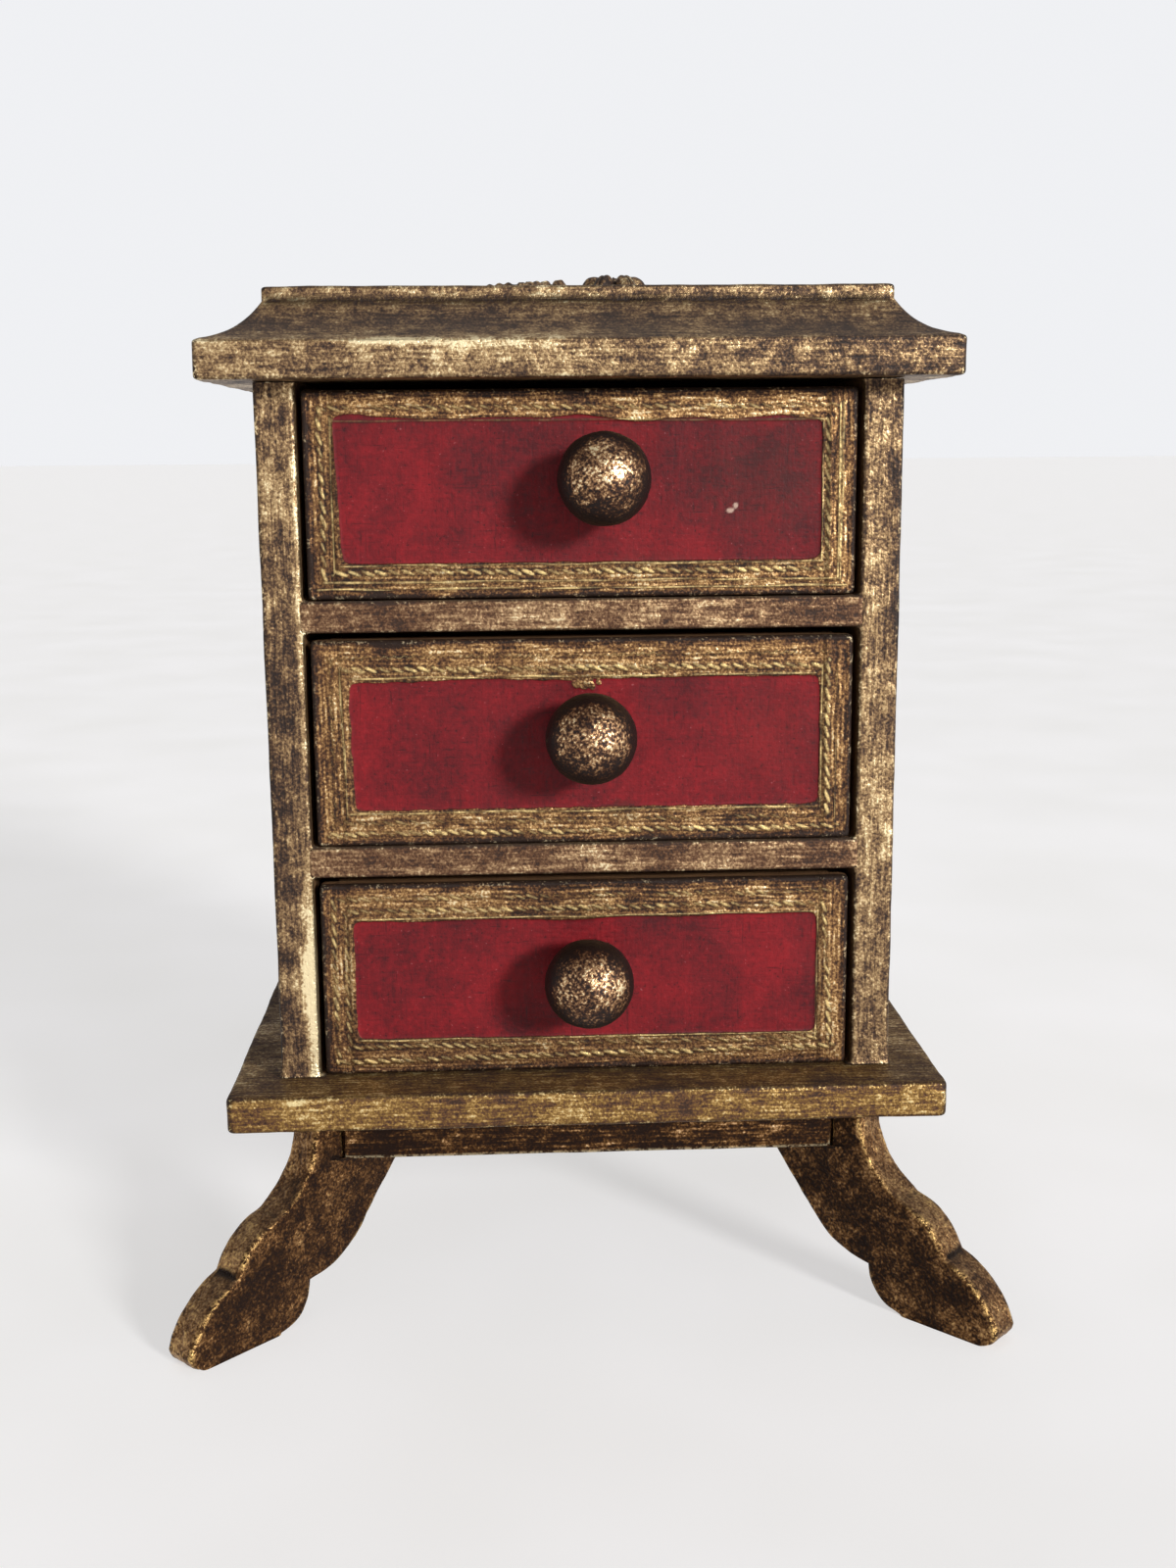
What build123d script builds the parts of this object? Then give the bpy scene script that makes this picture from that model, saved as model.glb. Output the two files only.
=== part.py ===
from build123d import *
import math
import os
from typing import NamedTuple

# A miniature chest of three drawers on four splayed legs, in millimetres.
# The origin is on the floor, under the middle of the case. Seen from the front, +X is to the right,
# +Y runs to the back and +Z is up.

# Case
case_width = 140.0
case_depth = 100.0
side_thickness = 9.0
shelf_thickness = 7.0
housing_depth = 3.0  # how far a shelf is let into each side
housing_stop = 6.0  # the housings stop this far behind the front, so that no joint shows
back_thickness = 4.0
back_lap = 4.5  # how far the back panel laps onto each side
bottom_opening = 46.6  # height
middle_opening = 47.9
top_opening = 46.6

# Top board: an upright band, a hollow moulding above it and a raised flat
top_overhang = 10.6
band_height = 8.2
hollow_run = 12.8
hollow_rise = 8.6
hollow_depth = 1.5
flat_rise = 3.2
moulding_round = 1.0

# Relief ornament on the top board
plaque_length = 58.0
plaque_width = 34.0
plaque_thickness = 1.2
flower_x = 10.0
petal_count = 6
petal_radius = 3.6
petal_ring = 4.6
petal_rise = 6.2
flower_heart_radius = 3.0
flower_heart_rise = 5.6
berry_radius = 2.3
berry_rise = 5.4
berry_spots = [(-6.4, 0.2), (-3.2, -2.6), (-2.6, 3.0)]
leaf_length = 17.0
leaf_width = 7.0
leaf_rise = 5.4
leaf_taper = 28.0  # slope of a leaf's sides from upright, in degrees
leaf_spots = [
    (-15.5, 0.0, 4.0),
    (-9.0, 9.0, -38.0),
    (-9.0, -9.0, 38.0),
    (20.5, 6.5, 28.0),
    (20.5, -6.5, -28.0),
]  # middle of each leaf and its turn in degrees

# Plinth board and the base board under it
plinth_side_overhang = 10.9
plinth_front_overhang = 12.9
plinth_thickness = 8.6
plinth_round = 1.2
base_side_inset = 8.0  # from the outer face of a case side
base_front_overhang = 5.0  # beyond the front of the case, and beyond its back
base_thickness = 9.8
base_round = 1.2

# Legs: flat boards sawn to a profile and set at 45 degrees on the clipped corners of the base board.
# Profile points are (distance outwards from the corner of the base board, height above the floor).
leg_height = 35.1
leg_thickness = 9.0
horn_reach = 3.5  # how far the top of a leg stands out past the corner
shoulder_reach = 24.0  # how far a leg runs back under the base board
knee_top = (14.5, 27.5)
outer_nick = (26.4, 17.3)
toe_tip = (39.7, 3.5)
toe_end = (36.5, 0.0)
heel_end = (15.0, 0.0)
inner_nick = (6.0, 9.6)
calf_top = (-11.0, 19.8)
horn_hollow = 2.8
knee_bulge = 2.0
foot_bulge = 2.4
toe_bulge = 0.8
heel_bulge = 2.6
calf_bulge = 2.4

# Drawers
drawer_side_gap = 1.2
drawer_top_gap = 1.7
drawer_run_gap = 0.3  # above the shelf or plinth that the drawer runs on
drawer_stop_gap = 0.5  # from the drawer's back to the back panel
front_thickness = 8.0
front_rebate = 4.0  # depth of the step that takes each drawer side
front_round = 0.8
drawer_side_thickness = 4.0
drawer_back_thickness = 4.0
side_drop = 2.0  # drawer sides and back stop this far below the top of the front
bottom_thickness = 2.5
bottom_lift = 2.0  # underside of the bottom panel above the lower edge of the sides
groove_depth = 2.0

# Knobs: a turned ball on a short neck, with a spigot glued through the drawer front
ball_radius = 10.0
neck_radius = 4.5
neck_length = 2.6
spigot_radius = 3.0

# How far right of the middle of its drawer front each hand-placed knob sits, and how far above it
bottom_knob_place = (0.1, 1.8)
middle_knob_place = (1.0, 2.4)
top_knob_place = (4.1, 3.3)

# Fasteners
glue_fit = 0.05  # radial clearance of every dowel, brad and spigot
end_clearance = 0.5  # left at each blind end of a dowel
dowel_radius = 2.0
dowel_in_side = 10.0
dowel_in_board = 6.0
dowel_spacing = 60.0
leg_dowel_radius = 2.5
leg_dowel_in_leg = 8.0
leg_dowel_in_base = 7.0
leg_dowel_setback = 12.5
brad_radius = 0.6
brad_length = 12.0
back_brad_rows = 4
back_brad_margin = 16.0
drawer_brad_margin = 9.0

# Levels, from the floor up
base_z = leg_height
plinth_z = base_z + base_thickness
case_z = plinth_z + plinth_thickness
lower_shelf_z = case_z + bottom_opening
middle_floor_z = lower_shelf_z + shelf_thickness
upper_shelf_z = middle_floor_z + middle_opening
top_floor_z = upper_shelf_z + shelf_thickness
top_board_z = top_floor_z + top_opening
case_height = top_board_z - case_z
ornament_z = top_board_z + band_height + hollow_rise + flat_rise

# Plan sizes
inner_width = case_width - 2 * side_thickness
case_front_y = -case_depth / 2
case_back_y = case_depth / 2
shelf_depth = case_depth - back_thickness
housing_front_y = case_front_y + housing_stop
housing_length = shelf_depth - housing_stop
side_centre_x = (case_width - side_thickness) / 2
base_width = case_width - 2 * base_side_inset
base_depth = case_depth + 2 * base_front_overhang
drawer_width = inner_width - 2 * drawer_side_gap
drawer_length = shelf_depth - drawer_stop_gap

STANDING = (Align.CENTER, Align.CENTER, Align.MIN)
FROM_FRONT = (Align.CENTER, Align.MIN, Align.MIN)


class DrawerPlace(NamedTuple):
    """Where one drawer goes: the level it runs on, its opening's height and its knob's place off centre."""

    floor_z: float
    opening: float
    knob_place: tuple


drawer_places = {
    "bottom": DrawerPlace(case_z, bottom_opening, bottom_knob_place),
    "middle": DrawerPlace(middle_floor_z, middle_opening, middle_knob_place),
    "top": DrawerPlace(top_floor_z, top_opening, top_knob_place),
}


def save(piece, name):
    """Labels a finished piece and writes it as one STEP file."""
    piece.label = name
    export_step(piece, f"parts/{name}.step")


# --- Case -----------------------------------------------------------------------------------------


def side_dowel_points(level):
    """Two dowels on the middle line of each case side, at one level."""
    return [
        (hand * side_centre_x, row * dowel_spacing / 2, level)
        for hand in (-1, 1)
        for row in (-1, 1)
    ]


def back_brad_points():
    """Brads in a column down each side of the back panel, at the middle of its lap."""
    column_x = inner_width / 2 + back_lap / 2
    pitch = (case_height - 2 * back_brad_margin) / (back_brad_rows - 1)
    return [
        (hand * column_x, case_back_y - brad_length / 2, case_z + back_brad_margin + row * pitch)
        for hand in (-1, 1)
        for row in range(back_brad_rows)
    ]


def case_side(hand):
    """A case side with housings for the shelves, a rebate for the back panel and its dowel and brad holes."""
    inner_x = hand * inner_width / 2
    with BuildPart() as side:
        with Locations((hand * side_centre_x, 0, case_z)):
            Box(side_thickness, case_depth, case_height, align=STANDING)
        for shelf_z in (lower_shelf_z, upper_shelf_z):
            with Locations((inner_x + hand * housing_depth / 2, housing_front_y, shelf_z)):
                Box(housing_depth, housing_length, shelf_thickness, align=FROM_FRONT, mode=Mode.SUBTRACT)
        with Locations((inner_x + hand * back_lap / 2, case_back_y - back_thickness / 2, case_z)):
            Box(back_lap, back_thickness, case_height, align=STANDING, mode=Mode.SUBTRACT)
        for level in (case_z, top_board_z):
            with Locations(*side_dowel_points(level)):
                Cylinder(dowel_radius + glue_fit, 2 * dowel_in_side, mode=Mode.SUBTRACT)
        with Locations(*back_brad_points()):
            Cylinder(brad_radius + glue_fit, brad_length, rotation=(90, 0, 0), mode=Mode.SUBTRACT)
    return side.part


def shelf(shelf_z):
    """A full-depth shelf, which shows as a rail between two drawers, with a tongue along each end."""
    with BuildPart() as board:
        with Locations((0, case_front_y, shelf_z)):
            Box(inner_width, shelf_depth, shelf_thickness, align=FROM_FRONT)
        with Locations((0, housing_front_y, shelf_z)):
            Box(inner_width + 2 * housing_depth, housing_length, shelf_thickness, align=FROM_FRONT)
    return board.part


def moulded_section(width):
    """The top board seen end on: band, hollow and flat on both sides, standing on the line y = 0."""
    half = width / 2
    flat_half = half - hollow_run
    hollow_top = band_height + hollow_rise
    flat_top = hollow_top + flat_rise
    band_corner = (half, band_height)
    hollow_corner = (flat_half, hollow_top)
    with BuildSketch() as section:
        with BuildLine():
            Polyline((0, 0), (half, 0), band_corner)
            SagittaArc(band_corner, hollow_corner, hollow_depth)
            Polyline(hollow_corner, (flat_half, flat_top), (0, flat_top))
            mirror(about=Plane.YZ)
        make_face()
        outer_corners = section.vertices().filter_by(lambda corner: corner.Y < hollow_top)
        upper_corners = section.vertices().group_by(Axis.Y)[-1]
        fillet(outer_corners + upper_corners, moulding_round)
    return section.sketch


top_width = case_width + 2 * top_overhang
top_depth = case_depth + 2 * top_overhang

with BuildPart() as top_board:
    with BuildSketch(Plane.XZ.offset(-top_depth / 2).shift_origin((0, top_depth / 2, top_board_z))):
        add(moulded_section(top_width))
    extrude(amount=top_depth)
    with BuildSketch(Plane.YZ.offset(-top_width / 2).shift_origin((-top_width / 2, 0, top_board_z))):
        add(moulded_section(top_depth))
    extrude(amount=top_width, mode=Mode.INTERSECT)
    with Locations(*side_dowel_points(top_board_z)):
        Cylinder(dowel_radius + glue_fit, 2 * dowel_in_board, mode=Mode.SUBTRACT)

with BuildPart() as back_panel:
    with Locations((0, case_back_y - back_thickness / 2, case_z)):
        Box(inner_width + 2 * back_lap, back_thickness, case_height, align=STANDING)
    with Locations(*back_brad_points()):
        Cylinder(brad_radius + glue_fit, brad_length, rotation=(90, 0, 0), mode=Mode.SUBTRACT)

with BuildPart() as back_brads:
    with Locations(*back_brad_points()):
        Cylinder(brad_radius, brad_length, rotation=(90, 0, 0))


def board_dowels(level, into_side):
    """The dowels between the sides and the board at one level; into_side is +1 where the sides are above."""
    side_end = level + into_side * (dowel_in_side - end_clearance)
    board_end = level - into_side * (dowel_in_board - end_clearance)
    middle = (side_end + board_end) / 2
    with BuildPart() as dowels:
        with Locations(*side_dowel_points(middle)):
            Cylinder(dowel_radius, abs(side_end - board_end))
    return dowels.part


# --- Ornament -------------------------------------------------------------------------------------


def dome_section(radius, rise):
    """Half of a dome's upright section: a flat foot and a round back."""
    with BuildSketch(Plane.XZ) as section:
        with BuildLine():
            Line((0, 0), (radius, 0))
            EllipticalCenterArc((0, 0), radius, rise, start_angle=0, arc_size=90)
            Line((0, rise), (0, 0))
        make_face()
    return section.sketch


def dome(radius, rise):
    """A round boss as wide as two radii and as high as its rise."""
    with BuildPart() as boss:
        add(dome_section(radius, rise))
        revolve(axis=Axis.Z)
    return boss.part


def leaf():
    """A pointed leaf between two arcs, drawn up with sloping sides."""
    tip = leaf_length / 2
    with BuildPart() as blade:
        with BuildSketch():
            with BuildLine():
                ThreePointArc((-tip, 0), (0, -leaf_width / 2), (tip, 0))
                ThreePointArc((tip, 0), (0, leaf_width / 2), (-tip, 0))
            make_face()
        extrude(amount=leaf_rise, taper=leaf_taper)
    return blade.part


petal = dome(petal_radius, petal_rise)
flower_heart = dome(flower_heart_radius, flower_heart_rise)
berry = dome(berry_radius, berry_rise)
leaf_blade = leaf()

with BuildPart() as top_ornament:
    with BuildSketch(Plane.XY.offset(ornament_z)):
        Ellipse(plaque_length / 2, plaque_width / 2)
    extrude(amount=plaque_thickness)
    with Locations((flower_x, 0, ornament_z)):
        add(flower_heart)
        with PolarLocations(petal_ring, petal_count):
            add(petal)
    with Locations(*[(x, y, ornament_z) for x, y in berry_spots]):
        add(berry)
    for x, y, turn in leaf_spots:
        with Locations(Location((x, y, ornament_z), (0, 0, turn))):
            add(leaf_blade)

# --- Plinth, base board and legs ------------------------------------------------------------------

corner_clip = leg_thickness / math.sqrt(2)  # makes a clipped corner as wide as a leg is thick


def leg_plane(side, end):
    """The upright middle plane of one leg: its x runs outwards from the corner of the base board."""
    outwards = Vector(side, end, 0).normalized()
    corner = (side * base_width / 2, end * base_depth / 2, 0)
    return Plane(origin=corner, x_dir=outwards, z_dir=outwards.cross(Vector(0, 0, 1)))


def leg_dowel_point(side, end, height):
    """A point on the axis of one leg's dowel."""
    return leg_plane(side, end).from_local_coords(Vector(-leg_dowel_setback, height, 0))


leg_corners = {
    "leg_front_left": (-1, -1),
    "leg_front_right": (1, -1),
    "leg_back_left": (-1, 1),
    "leg_back_right": (1, 1),
}


def leg(side, end):
    """One leg: a horn up the outside of the base board's corner, a shoulder under it, then knee and foot."""
    horn_top = (horn_reach, plinth_z)
    clip_face = -leg_thickness / 2
    shoulder_end = (-shoulder_reach, base_z)
    with BuildPart() as board:
        with BuildSketch(leg_plane(side, end)):
            with BuildLine():
                SagittaArc(horn_top, knee_top, -horn_hollow)
                SagittaArc(knee_top, outer_nick, knee_bulge)
                SagittaArc(outer_nick, toe_tip, foot_bulge)
                SagittaArc(toe_tip, toe_end, toe_bulge)
                Line(toe_end, heel_end)
                SagittaArc(heel_end, inner_nick, heel_bulge)
                SagittaArc(inner_nick, calf_top, calf_bulge)
                Polyline(calf_top, shoulder_end, (clip_face, base_z), (clip_face, plinth_z), horn_top)
            make_face()
        extrude(amount=leg_thickness / 2, both=True)
        with Locations(leg_dowel_point(side, end, base_z)):
            Cylinder(leg_dowel_radius + glue_fit, 2 * leg_dowel_in_leg, mode=Mode.SUBTRACT)
    return board.part


with BuildPart() as plinth_board:
    with Locations((0, 0, plinth_z)):
        Box(
            case_width + 2 * plinth_side_overhang,
            case_depth + 2 * plinth_front_overhang,
            plinth_thickness,
            align=STANDING,
        )
    fillet(plinth_board.edges(), plinth_round)
    with Locations(*side_dowel_points(case_z)):
        Cylinder(dowel_radius + glue_fit, 2 * dowel_in_board, mode=Mode.SUBTRACT)

with BuildPart() as base_board:
    with Locations((0, 0, base_z)):
        Box(base_width, base_depth, base_thickness, align=STANDING)
    chamfer(base_board.edges().filter_by(Axis.Z), corner_clip)
    lower_edges = base_board.edges().group_by(Axis.Z)[0]
    fillet(lower_edges.filter_by(Axis.X) + lower_edges.filter_by(Axis.Y), base_round)
    with Locations(*[leg_dowel_point(side, end, base_z) for side, end in leg_corners.values()]):
        Cylinder(leg_dowel_radius + glue_fit, 2 * leg_dowel_in_base, mode=Mode.SUBTRACT)

with BuildPart() as leg_dowels:
    leg_dowel_length = leg_dowel_in_leg + leg_dowel_in_base - 2 * end_clearance
    leg_dowel_middle = base_z + (leg_dowel_in_base - leg_dowel_in_leg) / 2
    with Locations(*[leg_dowel_point(side, end, leg_dowel_middle) for side, end in leg_corners.values()]):
        Cylinder(leg_dowel_radius, leg_dowel_length)

# --- Drawers --------------------------------------------------------------------------------------

side_inner_x = drawer_width / 2 - drawer_side_thickness
drawer_back_y = case_front_y + drawer_length
side_front_y = case_front_y + front_thickness - front_rebate
groove_x = side_inner_x + groove_depth
groove_front_y = case_front_y + front_thickness - groove_depth


def drawer_levels(place):
    """The lower edge, the top of the front and the top of the sides of one drawer."""
    lower = place.floor_z + drawer_run_gap
    front_top = place.floor_z + place.opening - drawer_top_gap
    return lower, front_top, front_top - side_drop


def drawer_brad_points(place, hand):
    """Two brads into the front and two into the back, through the side on one hand."""
    lower, _, side_top = drawer_levels(place)
    middle_x = hand * (drawer_width - brad_length) / 2
    into_front = (side_front_y + case_front_y + front_thickness) / 2
    into_back = drawer_back_y - drawer_back_thickness / 2
    return [
        (middle_x, y, z)
        for y in (into_front, into_back)
        for z in (lower + drawer_brad_margin, side_top - drawer_brad_margin)
    ]


def brad_holes(place, hands):
    """The space that a drawer's brads and their glue fit take up, on the given hands."""
    points = [point for hand in hands for point in drawer_brad_points(place, hand)]
    with BuildPart() as holes:
        with Locations(*points):
            Cylinder(brad_radius + glue_fit, brad_length, rotation=(0, 90, 0))
    return holes.part


def knob_axis(place):
    """Where the middle of a knob meets the face of its drawer front."""
    lower, front_top, _ = drawer_levels(place)
    knob_x, knob_rise = place.knob_place
    return (knob_x, case_front_y, (lower + front_top) / 2 + knob_rise)


def drawer_front(place):
    """The drawer front: a step at each end for a side, a groove for the bottom panel and the knob's hole."""
    lower, front_top, _ = drawer_levels(place)
    knob_x, face_y, knob_z = knob_axis(place)
    with BuildPart() as front:
        with Locations((0, case_front_y, lower)):
            Box(drawer_width, front_thickness, front_top - lower, align=FROM_FRONT)
        fillet(front.faces().sort_by(Axis.Y)[0].edges(), front_round)
        step_x = (drawer_width - drawer_side_thickness) / 2
        with Locations((-step_x, side_front_y, lower), (step_x, side_front_y, lower)):
            Box(drawer_side_thickness, front_rebate, front_top - lower, align=FROM_FRONT, mode=Mode.SUBTRACT)
        with Locations((0, groove_front_y, lower + bottom_lift)):
            Box(drawer_width, groove_depth, bottom_thickness, align=FROM_FRONT, mode=Mode.SUBTRACT)
        with Locations((knob_x, face_y + front_thickness / 2, knob_z)):
            Cylinder(spigot_radius + glue_fit, front_thickness, rotation=(90, 0, 0), mode=Mode.SUBTRACT)
        add(brad_holes(place, (-1, 1)), mode=Mode.SUBTRACT)
    return front.part


def drawer_side(place, hand):
    """A drawer side, grooved on its inner face for the bottom panel."""
    lower, _, side_top = drawer_levels(place)
    length = drawer_back_y - side_front_y
    outer_x = hand * (drawer_width - drawer_side_thickness) / 2
    with BuildPart() as side:
        with Locations((outer_x, side_front_y, lower)):
            Box(drawer_side_thickness, length, side_top - lower, align=FROM_FRONT)
        with Locations((hand * (side_inner_x + groove_depth / 2), side_front_y, lower + bottom_lift)):
            Box(groove_depth, length, bottom_thickness, align=FROM_FRONT, mode=Mode.SUBTRACT)
        add(brad_holes(place, (hand,)), mode=Mode.SUBTRACT)
    return side.part


def drawer_back(place):
    """The drawer back, which stands on the bottom panel between the sides."""
    lower, _, side_top = drawer_levels(place)
    back_foot = lower + bottom_lift + bottom_thickness
    with BuildPart() as back:
        with Locations((0, drawer_back_y - drawer_back_thickness, back_foot)):
            Box(2 * side_inner_x, drawer_back_thickness, side_top - back_foot, align=FROM_FRONT)
        add(brad_holes(place, (-1, 1)), mode=Mode.SUBTRACT)
    return back.part


def drawer_bottom(place):
    """The bottom panel, held in the grooves of the front and the sides."""
    lower, _, _ = drawer_levels(place)
    with BuildPart() as bottom:
        with Locations((0, groove_front_y, lower + bottom_lift)):
            Box(2 * groove_x, drawer_back_y - groove_front_y, bottom_thickness, align=FROM_FRONT)
    return bottom.part


def drawer_brads(place):
    """The brads that hold a drawer's sides to its front and back."""
    points = drawer_brad_points(place, -1) + drawer_brad_points(place, 1)
    with BuildPart() as brads:
        with Locations(*points):
            Cylinder(brad_radius, brad_length, rotation=(0, 90, 0))
    return brads.part


def knob(place):
    """A knob turned in one piece: spigot, neck and ball, its axis square to the drawer front."""
    ball_standoff = neck_length + math.sqrt(ball_radius**2 - neck_radius**2)
    ball_tip = ball_standoff + ball_radius
    axis_plane = Plane(origin=knob_axis(place), x_dir=(0, 0, 1), z_dir=(1, 0, 0))
    with BuildPart() as turned:
        with BuildSketch(axis_plane):
            with BuildLine():
                Polyline((0, 0), (0, -front_thickness), (spigot_radius, -front_thickness), (spigot_radius, 0))
                Polyline((spigot_radius, 0), (neck_radius, 0), (neck_radius, neck_length))
                ThreePointArc((neck_radius, neck_length), (ball_radius, ball_standoff), (0, ball_tip))
                Line((0, ball_tip), (0, 0))
            make_face()
        revolve(axis=Axis(knob_axis(place), (0, 1, 0)))
    return turned.part


# --- Writing the pieces ---------------------------------------------------------------------------

os.makedirs("parts", exist_ok=True)

save(case_side(-1), "case_side_left")
save(case_side(1), "case_side_right")
save(shelf(lower_shelf_z), "shelf_lower")
save(shelf(upper_shelf_z), "shelf_upper")
save(back_panel.part, "back_panel")
save(back_brads.part, "back_brads")
save(top_board.part, "top_board")
save(board_dowels(top_board_z, -1), "top_dowels")
save(top_ornament.part, "top_ornament")
save(plinth_board.part, "plinth_board")
save(board_dowels(case_z, 1), "plinth_dowels")
save(base_board.part, "base_board")
save(leg_dowels.part, "leg_dowels")

for leg_name, (side, end) in leg_corners.items():
    save(leg(side, end), leg_name)

for drawer_name, place in drawer_places.items():
    save(drawer_front(place), f"drawer_{drawer_name}_front")
    save(drawer_side(place, -1), f"drawer_{drawer_name}_side_left")
    save(drawer_side(place, 1), f"drawer_{drawer_name}_side_right")
    save(drawer_back(place), f"drawer_{drawer_name}_back")
    save(drawer_bottom(place), f"drawer_{drawer_name}_bottom")
    save(drawer_brads(place), f"drawer_{drawer_name}_brads")
    save(knob(place), f"drawer_{drawer_name}_knob")
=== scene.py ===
"""Looks of a gilt miniature chest of three drawers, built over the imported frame.

All sizes in this file are in millimetres. Every mesh is turned to metres when it is made, in the frame's own
axes: X to the right, Y to the back, Z up, with the origin on the floor under the middle of the chest.
"""

import logging
import math
from collections.abc import Callable
from dataclasses import dataclass, field
from enum import Enum

import bmesh
import bpy
import numpy as np
from mathutils import Matrix, Vector


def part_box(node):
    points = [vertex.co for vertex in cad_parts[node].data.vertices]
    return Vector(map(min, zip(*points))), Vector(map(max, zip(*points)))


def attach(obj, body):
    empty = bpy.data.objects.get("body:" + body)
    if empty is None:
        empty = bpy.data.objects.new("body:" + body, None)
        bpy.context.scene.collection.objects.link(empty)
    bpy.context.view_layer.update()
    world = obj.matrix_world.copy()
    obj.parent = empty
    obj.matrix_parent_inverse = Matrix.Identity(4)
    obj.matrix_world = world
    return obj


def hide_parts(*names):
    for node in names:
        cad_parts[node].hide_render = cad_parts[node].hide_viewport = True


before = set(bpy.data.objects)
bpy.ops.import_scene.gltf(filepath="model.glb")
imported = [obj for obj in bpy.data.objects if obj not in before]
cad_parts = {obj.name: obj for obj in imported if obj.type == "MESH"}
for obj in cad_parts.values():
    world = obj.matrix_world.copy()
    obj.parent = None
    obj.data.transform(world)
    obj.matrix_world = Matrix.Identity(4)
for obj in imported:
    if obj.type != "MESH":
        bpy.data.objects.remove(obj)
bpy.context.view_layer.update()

MM = 0.001
WELD = 0.004 * MM
SHARP_ANGLE = math.radians(42.0)
SOLE = 0.01

log = logging.getLogger("chest")


# --- Numbers and shapes ---------------------------------------------------------------------------


def linear_colour(code: str) -> tuple[float, float, float, float]:
    """Turns an sRGB hex colour to linear light.

    Args:
        code: six hex digits after a hash sign.
    Returns:
        Red, green, blue and an alpha of 1.
    """
    parts = np.array([int(code[i:i + 2], 16) for i in (1, 3, 5)]) / 255.0
    bright = ((parts + 0.055) / 1.055) ** 2.4
    red, green, blue = np.where(parts <= 0.04045, parts / 12.92, bright)
    return float(red), float(green), float(blue), 1.0


def node_box(node: str) -> tuple[np.ndarray, np.ndarray]:
    """Lowest and highest corner of a frame node, in millimetres."""
    low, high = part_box(node)
    return np.array(low) / MM, np.array(high) / MM


def put_in_scene(name: str, data: bpy.types.ID, place: Matrix | None = None) -> bpy.types.Object:
    """Links a new object with its data to the scene, at a place in metres or at the origin."""
    item = bpy.data.objects.new(name, data)
    if place is not None:
        item.matrix_world = place
    bpy.context.scene.collection.objects.link(item)
    return item


def smooth_step(low: float, high: float, value: np.ndarray) -> np.ndarray:
    """The cubic 3t² − 2t³ of value between low and high, held at 0 and 1 outside them."""
    t = np.clip((value - low) / (high - low), 0.0, 1.0)
    return t * t * (3.0 - 2.0 * t)


def ripple(points: np.ndarray, wavelength: float, seed: int) -> np.ndarray:
    """A smooth random field, about −1 to 1: a fifth of the sum of twelve plane waves sin(k·p + phase).

    Args:
        points: positions, one row each, in two or three axes.
        wavelength: middle wavelength in millimetres. The waves spread from 0.6 to 1.7 times it.
        seed: picks the waves.
    Returns:
        One value for each row.
    """
    waves = 12
    draw = np.random.default_rng(seed)
    heading = draw.normal(size=(points.shape[-1], waves))
    heading /= np.linalg.norm(heading, axis=0)
    pace = 2.0 * math.pi / (wavelength * draw.uniform(0.6, 1.7, waves))
    phase = draw.uniform(0.0, 2.0 * math.pi, waves)
    return np.sin(points @ (heading * pace) + phase).sum(axis=-1) / 5.0


def moved_in(corners: np.ndarray, inset: float) -> np.ndarray:
    """Moves each side of an anticlockwise polygon inwards by inset.

    A corner moves along the sum of its two inward normals, by inset / (1 + n1·n2), which keeps both sides
    parallel to where they were.

    Args:
        corners: the corners in order, one row each.
        inset: how far each side moves.
    Returns:
        The moved corners.
    """
    along = np.roll(corners, -1, axis=0) - corners
    along /= np.linalg.norm(along, axis=1, keepdims=True)
    after = np.stack([-along[:, 1], along[:, 0]], axis=1)
    before = np.roll(after, 1, axis=0)
    share = 1.0 + np.sum(before * after, axis=1, keepdims=True)
    return corners + (before + after) * inset / share


def rounded_outline(corners: np.ndarray, radii: np.ndarray | float, bend: int = 6, run: int = 24) -> np.ndarray:
    """A closed outline with rounded corners.

    With T = radius·tan(turn / 2), a corner C between the directions u and v becomes the curve
    C − (1 − a)²·T·u + a²·T·v for a from 0 to 1. The straight runs between are split with cosine spacing, so
    that points crowd towards the corners.

    Args:
        corners: the corners in order, one row each.
        radii: one radius for all corners or one each.
        bend: points on each corner.
        run: points inside each straight run.
    Returns:
        One row for each point.
    """
    into = corners - np.roll(corners, 1, axis=0)
    into /= np.linalg.norm(into, axis=1, keepdims=True)
    out = np.roll(into, -1, axis=0)
    turn = np.arccos(np.clip(np.sum(into * out, axis=1), -1.0, 1.0))
    reach = (np.broadcast_to(radii, turn.shape) * np.tan(turn / 2.0))[:, None, None]
    a = np.linspace(0.0, 1.0, bend)[None, :, None]
    bends = corners[:, None] - (1.0 - a) ** 2 * reach * into[:, None] + a ** 2 * reach * out[:, None]
    b = ((1.0 - np.cos(math.pi * np.linspace(0.0, 1.0, run + 2)[1:-1])) / 2.0)[None, :, None]
    runs = bends[:, -1:] * (1.0 - b) + np.roll(bends, -1, axis=0)[:, :1] * b
    return np.concatenate([bends, runs], axis=1).reshape(-1, corners.shape[1])


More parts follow.
